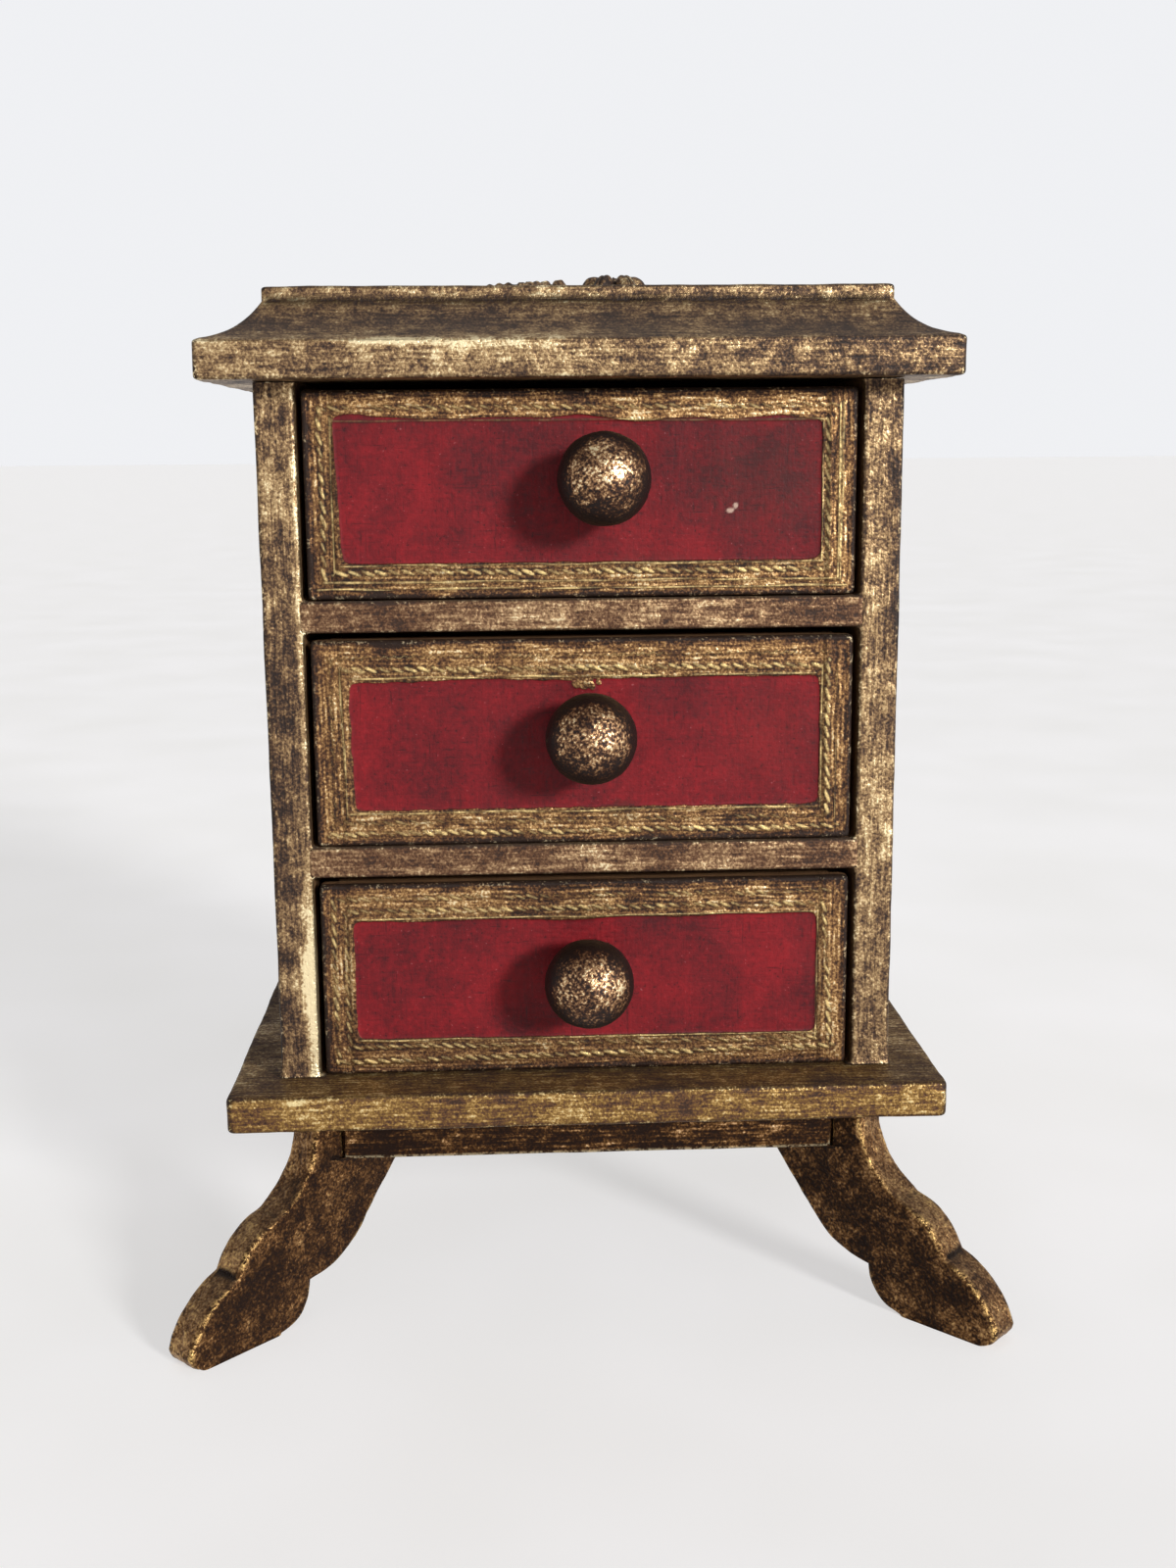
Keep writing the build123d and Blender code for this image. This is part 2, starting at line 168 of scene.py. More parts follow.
def rounded_path(corners: np.ndarray, radii: np.ndarray, bend: int = 6, step: float = 1.0) -> np.ndarray:
    """An open path with rounded corners, by the formula of rounded_outline, with its ends kept.

    Args:
        corners: the path's points in order.
        radii: one radius for each point between the ends.
        bend: points on each corner.
        step: longest distance between points on the straight runs.
    Returns:
        One row for each point.
    """
    along = np.diff(corners, axis=0)
    along /= np.linalg.norm(along, axis=1, keepdims=True)
    pieces = [corners[:1]]
    a = np.linspace(0.0, 1.0, bend)[:, None]
    for corner, into, out, radius in zip(corners[1:-1], along[:-1], along[1:], radii):
        reach = radius * math.tan(math.acos(float(np.clip(into @ out, -1.0, 1.0))) / 2.0)
        pieces.append(corner - (1.0 - a) ** 2 * reach * into + a ** 2 * reach * out)
    pieces.append(corners[-1:])
    path = [pieces[0]]
    for before, after in zip(pieces[:-1], pieces[1:]):
        gap = after[0] - before[-1]
        count = max(int(np.linalg.norm(gap) / step), 1)
        path.append(before[-1] + gap * np.linspace(0.0, 1.0, count + 1)[1:-1, None])
        path.append(after)
    return np.concatenate(path)


def bowed(start: tuple[float, float], end: tuple[float, float], bulge: float, share: np.ndarray) -> np.ndarray:
    """Points on the flat curve from start to end that stands bulge to the left of the chord at its middle.

    The curve is the chord plus 4·s·(1 − s)·bulge along the chord's left normal.

    Args:
        start: the first end.
        end: the last end.
        bulge: the rise at the middle, below 0 to the right.
        share: the places along the chord, 0 to 1.
    Returns:
        One row for each point.
    """
    first, last = np.array(start), np.array(end)
    chord = last - first
    left = np.array([-chord[1], chord[0]]) / np.linalg.norm(chord)
    s = share[:, None]
    return first + s * chord + 4.0 * s * (1.0 - s) * bulge * left


# --- Meshes ---------------------------------------------------------------------------------------


@dataclass
class Shell:
    """Points in millimetres, faces as lists of point numbers, and marks, which are numbers on the points."""

    points: np.ndarray
    faces: list[list[int]]
    marks: dict[str, np.ndarray] = field(default_factory=dict)

    @classmethod
    def from_rings(cls, rings: np.ndarray, caps: tuple[bool, bool] = (True, True)) -> "Shell":
        """A tube whose closed rings are the rows of an array of shape (rings, points, 3).

        Args:
            rings: the rings in order.
            caps: whether the first and the last ring are filled.
        Returns:
            The shell.
        """
        rows, columns = rings.shape[:2]
        number = np.arange(rows * columns).reshape(rows, columns)
        beside = np.roll(number, -1, axis=1)
        quads = np.stack([number[:-1], beside[:-1], beside[1:], number[1:]], axis=-1)
        faces = quads.reshape(-1, 4).tolist()
        if caps[0]:
            faces.append(number[0, ::-1].tolist())
        if caps[1]:
            faces.append(number[-1].tolist())
        return cls(rings.reshape(-1, 3), faces)

    @classmethod
    def from_grid(cls, grid: np.ndarray) -> "Shell":
        """An open sheet whose points are the rows and columns of an array of shape (rows, columns, 3)."""
        rows, columns = grid.shape[:2]
        number = np.arange(rows * columns).reshape(rows, columns)
        quads = np.stack([number[:-1, :-1], number[:-1, 1:], number[1:, 1:], number[1:, :-1]], axis=-1)
        return cls(grid.reshape(-1, 3), quads.reshape(-1, 4).tolist())

    def joined(self, other: "Shell") -> "Shell":
        """This shell and another as one, with each mark 0 where only the other shell has it."""
        shift = len(self.points)
        faces = self.faces + [[corner + shift for corner in face] for face in other.faces]
        marks = {}
        for name in self.marks | other.marks:
            mine = self.marks.get(name, np.zeros(shift))
            theirs = other.marks.get(name, np.zeros(len(other.points)))
            marks[name] = np.concatenate([mine, theirs])
        return Shell(np.concatenate([self.points, other.points]), faces, marks)


def point_array(mesh: bpy.types.Mesh, what: str) -> np.ndarray:
    """The co or normal of every point of a mesh, one row each."""
    values = np.empty(len(mesh.vertices) * 3, np.float32)
    mesh.vertices.foreach_get(what, values)
    return values.reshape(-1, 3).astype(float)


def mark_wear(mesh: bpy.types.Mesh, spreads: int = 2, gain: float = 4.0, kept: float = 0.4) -> None:
    """Marks how far each point stands out of its surroundings, as wear: above 0 on arrises, below 0 in nooks.

    The number is the mean over a point's edges of (normal · edge direction), with the sign turned, times gain.
    It is then mixed with the mean of its neighbours' numbers.

    Args:
        mesh: the finished mesh.
        spreads: how many times the numbers are mixed.
        gain: the factor on the mean.
        kept: the share that a point keeps of its own number each time.
    """
    ends = np.empty(len(mesh.edges) * 2, np.int32)
    mesh.edges.foreach_get("vertices", ends)
    one, two = ends.reshape(-1, 2).T
    place, normal = point_array(mesh, "co"), point_array(mesh, "normal")
    edge = place[two] - place[one]
    edge /= np.maximum(np.linalg.norm(edge, axis=1, keepdims=True), 1e-9)
    total = len(place)
    valence = np.maximum(np.bincount(one, minlength=total) + np.bincount(two, minlength=total), 1)
    wear = np.bincount(one, -np.sum(normal[one] * edge, axis=1), total)
    wear += np.bincount(two, np.sum(normal[two] * edge, axis=1), total)
    wear = gain * wear / valence
    for _ in range(spreads):
        around = np.bincount(one, wear[two], total) + np.bincount(two, wear[one], total)
        wear = kept * wear + (1.0 - kept) * around / valence
    mesh.attributes.new("wear", "FLOAT", "POINT").data.foreach_set("value", wear.astype(np.float32))


@dataclass(frozen=True)
class Handwork:
    """How far a piece is from dead true: its surface lies up to depth below the ideal one, in soft waves."""

    depth: float
    wavelength: float
    seed: int
    fine_share: float = 0.3
    fine_ratio: float = 0.25
    fine_seed: int = 50

    def press(self, mesh: bpy.types.Mesh) -> None:
        """Moves each point inwards along its normal by depth·(1 + ripples) / 2, but leaves flat soles flat."""
        place, normal = point_array(mesh, "co"), point_array(mesh, "normal")
        wave = (1.0 - self.fine_share) * ripple(place / MM, self.wavelength, self.seed)
        fine = ripple(place / MM, self.wavelength * self.fine_ratio, self.seed + self.fine_seed)
        wave += self.fine_share * fine
        sink = self.depth * MM * np.clip(0.5 + 0.5 * wave, 0.0, 1.0)
        sink = np.where(place[:, 2] < SOLE * MM, 0.0, sink)
        moved = place - normal * sink[:, None]
        mesh.vertices.foreach_set("co", moved.astype(np.float32).ravel())
        mesh.update()


@dataclass(frozen=True)
class ToneAndHighlightSpot:
    """A place where the toning is thicker, below 0, or the leaf brighter, above 0: rubbed leaf, and at some
    spots a painted highlight.
    """

    centre: tuple[float, float, float]
    reach: tuple[float, float, float]
    change: float


def mark_tone(shell: Shell, spots: list[ToneAndHighlightSpot]) -> Shell:
    """Adds each spot's change·exp(−d²) to the tone mark, where d is the distance over the spot's reach.

    Args:
        shell: the shell to mark.
        spots: its spots.
    Returns:
        The same shell.
    """
    tone = shell.marks.get("tone", np.zeros(len(shell.points)))
    for spot in spots:
        distance = (shell.points - np.array(spot.centre)) / np.array(spot.reach)
        tone = tone + spot.change * np.exp(-np.sum(distance ** 2, axis=1))
    shell.marks["tone"] = tone
    return shell


@dataclass(frozen=True)
class Place:
    """Where a piece belongs: the body it rides on, the frame nodes it stands for and its material slot."""

    body: str
    nodes: tuple[str, ...]
    slot: str


def make_piece(name: str, shell: Shell, finish: bpy.types.Material, place: Place,
               handwork: Handwork | None = None) -> bpy.types.Object:
    """Turns a shell to a smooth, closed mesh object with its marks, and seats it in the frame.

    Args:
        name: the piece's name.
        shell: its points, faces and marks.
        finish: its material.
        place: its body, nodes and slot.
        handwork: unevenness, or None for a true surface.
    Returns:
        The object.
    """
    mesh = bpy.data.meshes.new(name)
    mesh.from_pydata((shell.points * MM).tolist(), [], shell.faces)
    for mark, values in shell.marks.items():
        mesh.attributes.new(mark, "FLOAT", "POINT").data.foreach_set("value", values.astype(np.float32))
    work = bmesh.new()
    work.from_mesh(mesh)
    bmesh.ops.remove_doubles(work, verts=work.verts, dist=WELD)
    bmesh.ops.recalc_face_normals(work, faces=work.faces)
    work.to_mesh(mesh)
    work.free()
    mesh.polygons.foreach_set("use_smooth", np.ones(len(mesh.polygons), bool))
    if handwork:
        handwork.press(mesh)
    mark_wear(mesh)
    mesh.set_sharp_from_angle(angle=SHARP_ANGLE)
    mesh.materials.append(finish)
    piece = put_in_scene(name, mesh)
    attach(piece, place.body)
    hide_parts(*place.nodes)
    log.info("%s: %d points, %d faces", name, len(mesh.vertices), len(mesh.polygons))
    return piece


# --- Materials ------------------------------------------------------------------------------------


class Grain(Enum):
    """The axis that brush marks and wood grain run along."""

    ALONG_X = (0.09, 1.0, 1.0)
    ALONG_Y = (1.0, 0.09, 1.0)
    ALONG_Z = (1.0, 1.0, 0.09)
    NONE = (1.0, 1.0, 1.0)


# A turn about X, Y and Z, in radians, that keeps a noise's own grid off the boards' axes.
OFF_LATTICE = (0.6, 0.45, 0.8)


def per_mm(size: float) -> float:
    """The scale of a noise on metres whose features are about size millimetres wide."""
    return 1.0 / (size * MM)


class NodeSheet:
    """The emptied node tree of a material or a world."""

    def __init__(self, owner: bpy.types.Material | bpy.types.World) -> None:
        """Takes the tree of its owner and clears it."""
        self.owner = owner
        owner.use_nodes = True
        self.tree = owner.node_tree
        self.tree.nodes.clear()

    @classmethod
    def of_material(cls, name: str) -> "NodeSheet":
        """The tree of a new material."""
        return cls(bpy.data.materials.new(name))

    def add(self, kind: str, inputs: dict | None = None, stops: list | None = None,
            **settings) -> bpy.types.Node:
        """Adds a node with its settings and links.

        Args:
            kind: the shader node's type without its ShaderNode prefix.
            inputs: values, nodes or sockets by the name or number of the input socket. A node stands for its
                first enabled output.
            stops: the places and hex colours of a colour ramp.
            settings: properties of the node.
        Returns:
            The node.
        """
        made = self.tree.nodes.new("ShaderNode" + kind)
        for key, value in settings.items():
            setattr(made, key, value)
        if stops:
            elements = made.color_ramp.elements
            while len(elements) < len(stops):
                elements.new(0.5)
            for element, (position, code) in zip(elements, stops):
                element.position = position
                element.color = linear_colour(code)
        for key, value in (inputs or {}).items():
            if isinstance(key, int):
                socket = made.inputs[key]
            else:
                socket = next(s for s in made.inputs if s.enabled and s.name == key)
            if isinstance(value, bpy.types.Node):
                value = next(s for s in value.outputs if s.enabled)
            if isinstance(value, bpy.types.NodeSocket):
                self.tree.links.new(value, socket)
            else:
                socket.default_value = value
        return made

    def dress(self, looks: "Looks", bump_depth: float, **constants: float) -> bpy.types.Material:
        """Ends the tree in one shader.

        Args:
            looks: the colour, roughness, metallic and height.
            bump_depth: the height of 1 in millimetres.
            constants: values set on the shader's own sockets, by name with underscores for spaces.
        Returns:
            The material.
        """
        bump = self.add("Bump", {"Height": looks.height, "Distance": bump_depth * MM, "Strength": 1.0})
        shader = self.add("BsdfPrincipled", {
            "Base Color": looks.colour, "Roughness": looks.roughness, "Metallic": looks.metallic,
            "Normal": bump})
        for name, value in constants.items():
            shader.inputs[name.replace("_", " ")].default_value = value
        self.add("OutputMaterial", {"Surface": shader})
        return self.owner


@dataclass
class Looks:
    """The nodes of a finish before they reach the shader, or a number where it is the same all over."""

    colour: bpy.types.Node
    roughness: bpy.types.Node
    metallic: bpy.types.Node | float
    height: bpy.types.Node


@dataclass(frozen=True)
class Gilding:
    """Water gilding: gold leaf on red bole and gesso, rubbed, toned with dark wax and varnished.

    The leaf is a metal with broken cover, brightest where it was burnished. The toning lies in the pores and
    nooks and looks like dark brown lacquer. Dust has dulled what faces up; where its colour is dark, as on the
    plinth, it is painted shade.
    """

    name: str
    toning: str = "#341f12"
    brown: str = "#60402a"
    leaf: str = "#8c6444"
    rubbed: str = "#c1976a"
    glint: str = "#f6e2b6"
    ramp: tuple[float, ...] = (0.2, 0.37, 0.52, 0.68, 0.82)
    cover: float = 0.0
    grain: Grain = Grain.NONE
    upright_beyond: float = 0.0
    streak_width: float = 0.75
    streak_weight: float = 0.95
    patch_size: float = 17.0
    patch_weight: float = 0.75
    mottle_size: float = 3.0
    mottle_weight: float = 0.6
    speck_size: float = 0.6
    speck_weight: float = 0.85
    metal: float = 0.9
    dust: float = 0.9
    dust_and_shade_colour: str = "#4d4138"
    arris: str = "#1c110b"
    arris_share: float = 0.75
    raw_late: str = "#5a3f29"
    raw_early: str = "#8d6a48"
    bump_depth: float = 0.2
    varnish: float = 0.05
    varnish_roughness: float = 0.5
    specular: float = 0.3

    def looks(self, sheet: NodeSheet) -> Looks:
        """Lays the leaf, toning, worn arrises, dust and bare wood over each other; on the plinth the dust is
        painted shade.

        The amount of leaf is the tone mark + cover + 0.5 + the sum of weight·(noise − 0.5) over patches,
        mottles of wax, brush streaks and pores. The pores are 0.6 mm wide, about twice their real width, so
        that they show. Where upright_beyond isn't 0, the streaks run upright farther out than that from X = 0.

        Args:
            sheet: the tree to fill.
        Returns:
            The nodes of the finish.
        """
        place = sheet.add("TexCoord").outputs["Object"]
        drawn = sheet.add("Mapping", {"Vector": place, "Scale": self.grain.value, "Rotation": OFF_LATTICE})
        turned = sheet.add("Mapping", {"Vector": place, "Rotation": OFF_LATTICE})
        patch = sheet.add("TexNoise", {"Vector": turned, "Scale": per_mm(self.patch_size), "Detail": 5.0,
                                       "Roughness": 0.62})
        mottle = sheet.add("TexNoise", {"Vector": turned, "Scale": per_mm(self.mottle_size), "Detail": 3.0,
                                        "Roughness": 0.6, "Distortion": 0.2})
        if self.upright_beyond:
            upright = sheet.add("Mapping", {"Vector": place, "Scale": Grain.ALONG_Z.value,
                                            "Rotation": OFF_LATTICE})
            aside = sheet.add("Math", {0: sheet.add("SeparateXYZ", {"Vector": place}).outputs["X"]},
                              operation="ABSOLUTE")
            at_end = sheet.add("MapRange", {"Value": aside, "From Min": (self.upright_beyond - 0.5) * MM,
                                            "From Max": (self.upright_beyond + 0.5) * MM})
            drawn = sheet.add("Mix", {"Factor": at_end, "A": drawn, "B": upright}, data_type="VECTOR")
        streak = sheet.add("TexNoise", {"Vector": drawn, "Scale": per_mm(self.streak_width), "Detail": 3.0,
                                        "Roughness": 0.6, "Distortion": 0.15})
        speck = sheet.add("TexNoise", {"Vector": turned, "Scale": per_mm(self.speck_size), "Detail": 2.0,
                                       "Roughness": 0.6})
        tone = sheet.add("Attribute", attribute_name="tone").outputs["Fac"]
        layers = ((patch, self.patch_weight), (mottle, self.mottle_weight), (streak, self.streak_weight),
                  (speck, self.speck_weight))
        start = 0.5 + self.cover - 0.5 * sum(weight for _, weight in layers)
        amount = sheet.add("Math", {0: tone, 1: start}, operation="ADD")
        for layer, weight in layers:
            amount = sheet.add("Math", {0: layer, 1: weight, 2: amount}, operation="MULTIPLY_ADD")
        shades = (self.toning, self.brown, self.leaf, self.rubbed, self.glint)
        gold = sheet.add("ValToRGB", {"Fac": amount}, stops=list(zip(self.ramp, shades)))
        wear = sheet.add("Attribute", attribute_name="wear").outputs["Fac"]
        rub = sheet.add("Math", {0: speck, 1: mottle}, operation="ADD")
        bright_edge = sheet.add("MapRange", {"Value": rub, "From Min": 0.8 + 0.4 * self.arris_share,
                                             "From Max": 0.95 + 0.4 * self.arris_share})
        edge_colour = sheet.add("Mix", {"Factor": bright_edge, "A": linear_colour(self.arris),
                                        "B": linear_colour(self.glint)}, data_type="RGBA")
        edge = sheet.add("MapRange", {"Value": wear, "From Min": 0.16, "From Max": 0.5, "To Max": 0.85})
        worn = sheet.add("Mix", {"Factor": edge, "A": gold, "B": edge_colour}, data_type="RGBA")
        nook = sheet.add("MapRange", {"Value": wear, "From Min": -0.05, "From Max": -0.3})
        toned = sheet.add("Mix", {"Factor": nook, "A": worn, "B": linear_colour(self.arris)}, data_type="RGBA")
        # What faces up takes the dust colour; the plinth's dark dust colour is painted shade.
        facing = sheet.add("SeparateXYZ", {"Vector": sheet.add("NewGeometry").outputs["Normal"]}).outputs["Z"]
        up = sheet.add("MapRange", {"Value": facing, "From Min": 0.45, "From Max": 0.9, "To Max": self.dust})
        clear = sheet.add("MapRange", {"Value": patch, "From Min": 0.62, "From Max": 0.38, "To Min": 0.55})
        dust_and_shade_mask = sheet.add("Math", {0: up, 1: clear}, operation="MULTIPLY")
        dust_and_shade_tone = sheet.add("Mix", {"Factor": 0.3, "A": linear_colour(self.dust_and_shade_colour), "B": toned},
                              data_type="RGBA")
        dulled = sheet.add("Mix", {"Factor": dust_and_shade_mask, "A": toned, "B": dust_and_shade_tone}, data_type="RGBA")
        bare = sheet.add("Attribute", attribute_name="bare").outputs["Fac"]
        raw = sheet.add("ValToRGB", {"Fac": streak}, stops=[(0.3, self.raw_late), (0.7, self.raw_early)])
        colour = sheet.add("Mix", {"Factor": bare, "A": dulled, "B": raw}, data_type="RGBA")
        shine = sheet.add("MapRange", {"Value": amount, "From Min": 0.2, "From Max": 0.6, "To Min": 0.1,
                                       "To Max": self.metal})
        under_dust_and_shade = sheet.add("MapRange", {"Value": dust_and_shade_mask, "To Min": 1.0, "To Max": 0.2})
        shown = sheet.add("Math", {0: shine, 1: under_dust_and_shade}, operation="MULTIPLY")
        gilt = sheet.add("MapRange", {"Value": bare, "To Min": 1.0, "To Max": 0.0})
        metallic = sheet.add("Math", {0: shown, 1: gilt}, operation="MULTIPLY")
        polish = sheet.add("MapRange", {"Value": amount, "From Min": 0.2, "From Max": 0.85, "To Min": 0.58,
                                        "To Max": 0.3})
        roughness = sheet.add("Math", {0: dust_and_shade_mask, 1: 0.4, 2: polish}, operation="MULTIPLY_ADD", use_clamp=True)
        brushed = sheet.add("Math", {0: streak, 1: 0.9, 2: mottle}, operation="MULTIPLY_ADD")
        height = sheet.add("Math", {0: speck, 1: 0.7, 2: brushed}, operation="MULTIPLY_ADD")
        return Looks(colour, roughness, metallic, height)

    def material(self) -> bpy.types.Material:
        """The finished material."""
        sheet = NodeSheet.of_material(self.name)
        return sheet.dress(self.looks(sheet), self.bump_depth, Coat_Weight=self.varnish,
                           Coat_Roughness=self.varnish_roughness, Specular_IOR_Level=self.specular)


@dataclass(frozen=True)
class CrimsonPaint:
    """Crimson size paint on gesso, brushed on thin, waxed and chipped: satin, with darker brush marks."""

    shade: str = "#501016"
    body: str = "#73151c"
    bright: str = "#911b22"
    darkening: str = "#2d0d10"
    chip: str = "#b5787a"
    cloud_size: float = 19.0
    mottle_size: float = 1.6
    brush_width: float = 0.5
    dot_size: float = 0.8

    def looks(self, sheet: NodeSheet) -> Looks:
        """Lays the paint, its brush marks, specks and chips.

        Args:
            sheet: the tree to fill.
        Returns:
            The nodes of the finish.
        """
        place = sheet.add("TexCoord").outputs["Object"]
        across = sheet.add("Mapping", {"Vector": place, "Scale": Grain.ALONG_X.value})
        upright = sheet.add("Mapping", {"Vector": place, "Scale": Grain.ALONG_Z.value})
        cloud = sheet.add("TexNoise", {"Vector": place, "Scale": per_mm(self.cloud_size), "Detail": 5.0,
                                       "Roughness": 0.65})
        level = sheet.add("TexNoise", {"Vector": across, "Scale": per_mm(self.brush_width), "Detail": 3.0})
        plumb = sheet.add("TexNoise", {"Vector": upright, "Scale": per_mm(self.brush_width), "Detail": 3.0})
        mottle = sheet.add("TexNoise", {"Vector": place, "Scale": per_mm(self.mottle_size), "Detail": 4.0,
                                        "Roughness": 0.7})
        brush = sheet.add("Math", {0: level, 1: plumb}, operation="ADD")
        grainy = sheet.add("Math", {0: mottle, 1: 0.6, 2: cloud}, operation="MULTIPLY_ADD")
        tone = sheet.add("Math", {0: brush, 1: 0.14, 2: grainy}, operation="MULTIPLY_ADD")
        spread = sheet.add("MapRange", {"Value": tone, "From Min": 0.7, "From Max": 1.18})
        paint = sheet.add("ValToRGB", {"Fac": spread}, stops=[
            (0.1, self.shade), (0.5, self.body), (0.95, self.bright)])
        dot = sheet.add("TexNoise", {"Vector": place, "Scale": per_mm(self.dot_size), "Detail": 2.0,
                                     "Roughness": 0.6})
        fleck = sheet.add("MapRange", {"Value": dot, "From Min": 0.35, "From Max": 0.28, "To Max": 0.7})
        thinnest = sheet.add("Math", {0: level, 1: plumb}, operation="MINIMUM")
        dash = sheet.add("MapRange", {"Value": thinnest, "From Min": 0.34, "From Max": 0.25, "To Max": 0.6})
        dirt = sheet.add("Math", {0: fleck, 1: dash}, operation="MAXIMUM")
        specked = sheet.add("Mix", {"Factor": dirt, "A": paint, "B": linear_colour(self.darkening)},
                            data_type="RGBA")
        rubbed = sheet.add("MapRange", {"Value": dot, "From Min": 0.69, "From Max": 0.77, "To Max": 0.4})
        colour = sheet.add("Mix", {"Factor": rubbed, "A": specked, "B": linear_colour(self.chip)},
                           data_type="RGBA")
        roughness = sheet.add("MapRange", {"Value": brush, "From Min": 0.7, "From Max": 1.3, "To Min": 0.42,
                                           "To Max": 0.6})
        film = sheet.add("Math", {0: brush, 1: 0.5, 2: dot}, operation="MULTIPLY_ADD")
        height = sheet.add("Math", {0: film, 1: 0.3}, operation="MULTIPLY")
        return Looks(colour, roughness, 0.0, height)


@dataclass(frozen=True)
class TooledFront:
    """A drawer front: a crimson field in a border of tooled gilding, parted by the mesh's panel mark."""

    name: str
    border: Gilding
    field_paint: CrimsonPaint
    ragged: float = 0.4
    fray_size: float = 1.4
    # The crest colour is a painted highlight on the tooling.
    crest: str = "#fad994"
    smudge_and_shade: str = "#2f2119"
    gesso: str = "#c9a896"
    specular: float = 0.25

    def material(self) -> bpy.types.Material:
        """Parts border and field where the panel mark, in millimetres, crosses 0 with a ragged edge.

        Tooling has a dark foot, toning with painted shadow, and a bright crest, a painted highlight. Smudges
        and broad patches of painted shade lie over both, and a chip shows the gesso.
        """
        sheet = NodeSheet.of_material(self.name)
        gilt, red = self.border.looks(sheet), self.field_paint.looks(sheet)
        place = sheet.add("TexCoord").outputs["Object"]
        fray = sheet.add("TexNoise", {"Vector": place, "Scale": per_mm(self.fray_size), "Detail": 3.0,
                                      "Roughness": 0.7})
        drift = sheet.add("Math", {0: fray, 1: -0.5}, operation="ADD")
        panel = sheet.add("Attribute", attribute_name="panel").outputs["Fac"]
        edge = sheet.add("Math", {0: drift, 1: self.ragged, 2: panel}, operation="MULTIPLY_ADD")
        inside = sheet.add("MapRange", {"Value": edge, "From Min": -0.1, "From Max": 0.1})
        colour = sheet.add("Mix", {"Factor": inside, "A": gilt.colour, "B": red.colour}, data_type="RGBA")
        tooled = sheet.add("Attribute", attribute_name="tooling").outputs["Fac"]
        # The dark foot round the tooling is toning with painted shadow.
        foot = sheet.add("MapRange", {"Value": tooled, "From Min": 0.02, "From Max": 0.3, "To Max": 0.55})
        shaded = sheet.add("Mix", {"Factor": foot, "A": colour, "B": linear_colour(self.border.toning)},
                           data_type="RGBA")
        # The bright crest is a painted highlight.
        crest = sheet.add("MapRange", {"Value": tooled, "From Min": 0.3, "From Max": 0.78})
        broken = sheet.add("MapRange", {"Value": fray, "From Min": 0.4, "From Max": 0.6, "To Min": 0.25})
        gilt_only = sheet.add("MapRange", {"Value": inside, "To Min": 0.95, "To Max": 0.15})
        glow = sheet.add("Math", {0: crest, 1: broken}, operation="MULTIPLY")
        lit = sheet.add("Math", {0: glow, 1: gilt_only}, operation="MULTIPLY")
        struck = sheet.add("Mix", {"Factor": lit, "A": shaded, "B": linear_colour(self.crest)},
                           data_type="RGBA")
        # The darkening mark holds smudges and broad patches of painted shade.
        darkening = sheet.add("Attribute", attribute_name="darkening").outputs["Fac"]
        patchy = sheet.add("MapRange", {"Value": fray, "From Min": 0.3, "From Max": 0.7, "To Min": 0.35,
                                        "To Max": 0.9})
        smear_and_shade = sheet.add("Math", {0: darkening, 1: patchy}, operation="MULTIPLY")
        smudged_and_shaded = sheet.add("Mix", {"Factor": smear_and_shade, "A": struck, "B": linear_colour(self.smudge_and_shade)},
                            data_type="RGBA")
        chip = sheet.add("Attribute", attribute_name="chip").outputs["Fac"]
        chipped = sheet.add("Mix", {"Factor": chip, "A": smudged_and_shaded, "B": linear_colour(self.gesso)},
                            data_type="RGBA")
        roughness, metallic, height = (
            sheet.add("Mix", {"Factor": inside, "A": getattr(gilt, what), "B": getattr(red, what)},
                      data_type="FLOAT") for what in ("roughness", "metallic", "height"))
        return sheet.dress(Looks(chipped, roughness, metallic, height), self.border.bump_depth,
                           Specular_IOR_Level=self.specular)


@dataclass(frozen=True)
class PlanedWood:
    """Planed wood, bare or stained: matt, with darker late wood in lines along the grain."""

    name: str
    late: str
    early: str
    grain: Grain
    ring_width: float = 1.6
    pore_width: float = 0.35
    roughness: float = 0.62
    bump_depth: float = 0.06

    def material(self) -> bpy.types.Material:
        """The finished material."""
        sheet = NodeSheet.of_material(self.name)
        place = sheet.add("TexCoord").outputs["Object"]
        drawn = sheet.add("Mapping", {"Vector": place, "Scale": self.grain.value})
        rings = sheet.add("TexNoise", {"Vector": drawn, "Scale": per_mm(self.ring_width), "Detail": 3.0})
        pores = sheet.add("TexNoise", {"Vector": drawn, "Scale": per_mm(self.pore_width), "Detail": 2.0})
        tone = sheet.add("Math", {0: pores, 1: 0.35, 2: rings}, operation="MULTIPLY_ADD")
        colour = sheet.add("ValToRGB", {"Fac": tone}, stops=[(0.5, self.late), (0.85, self.early)])
        rough = sheet.add("MapRange", {"Value": pores, "To Min": self.roughness - 0.08,
                                       "To Max": self.roughness + 0.1})
        return sheet.dress(Looks(colour, rough, 0.0, tone), self.bump_depth)


@dataclass(frozen=True)
class DrawnSteel:
    """Drawn steel wire: bright metal with spots of brown tarnish."""

    name: str
    tarnish: str = "#6d625a"
    steel: str = "#a9a6a2"
    spot_size: float = 0.8
    bump_depth: float = 0.02

    def material(self) -> bpy.types.Material:
        """The finished material."""
        sheet = NodeSheet.of_material(self.name)
        place = sheet.add("TexCoord").outputs["Object"]
        spots = sheet.add("TexNoise", {"Vector": place, "Scale": per_mm(self.spot_size), "Detail": 3.0})
        colour = sheet.add("ValToRGB", {"Fac": spots}, stops=[(0.4, self.tarnish), (0.65, self.steel)])
        rough = sheet.add("MapRange", {"Value": spots, "To Min": 0.5, "To Max": 0.25})
        metallic = sheet.add("MapRange", {"Value": spots, "From Min": 0.2, "From Max": 0.45, "To Min": 0.6})
        return sheet.dress(Looks(colour, rough, metallic, spots), self.bump_depth)


# --- The case -------------------------------------------------------------------------------------


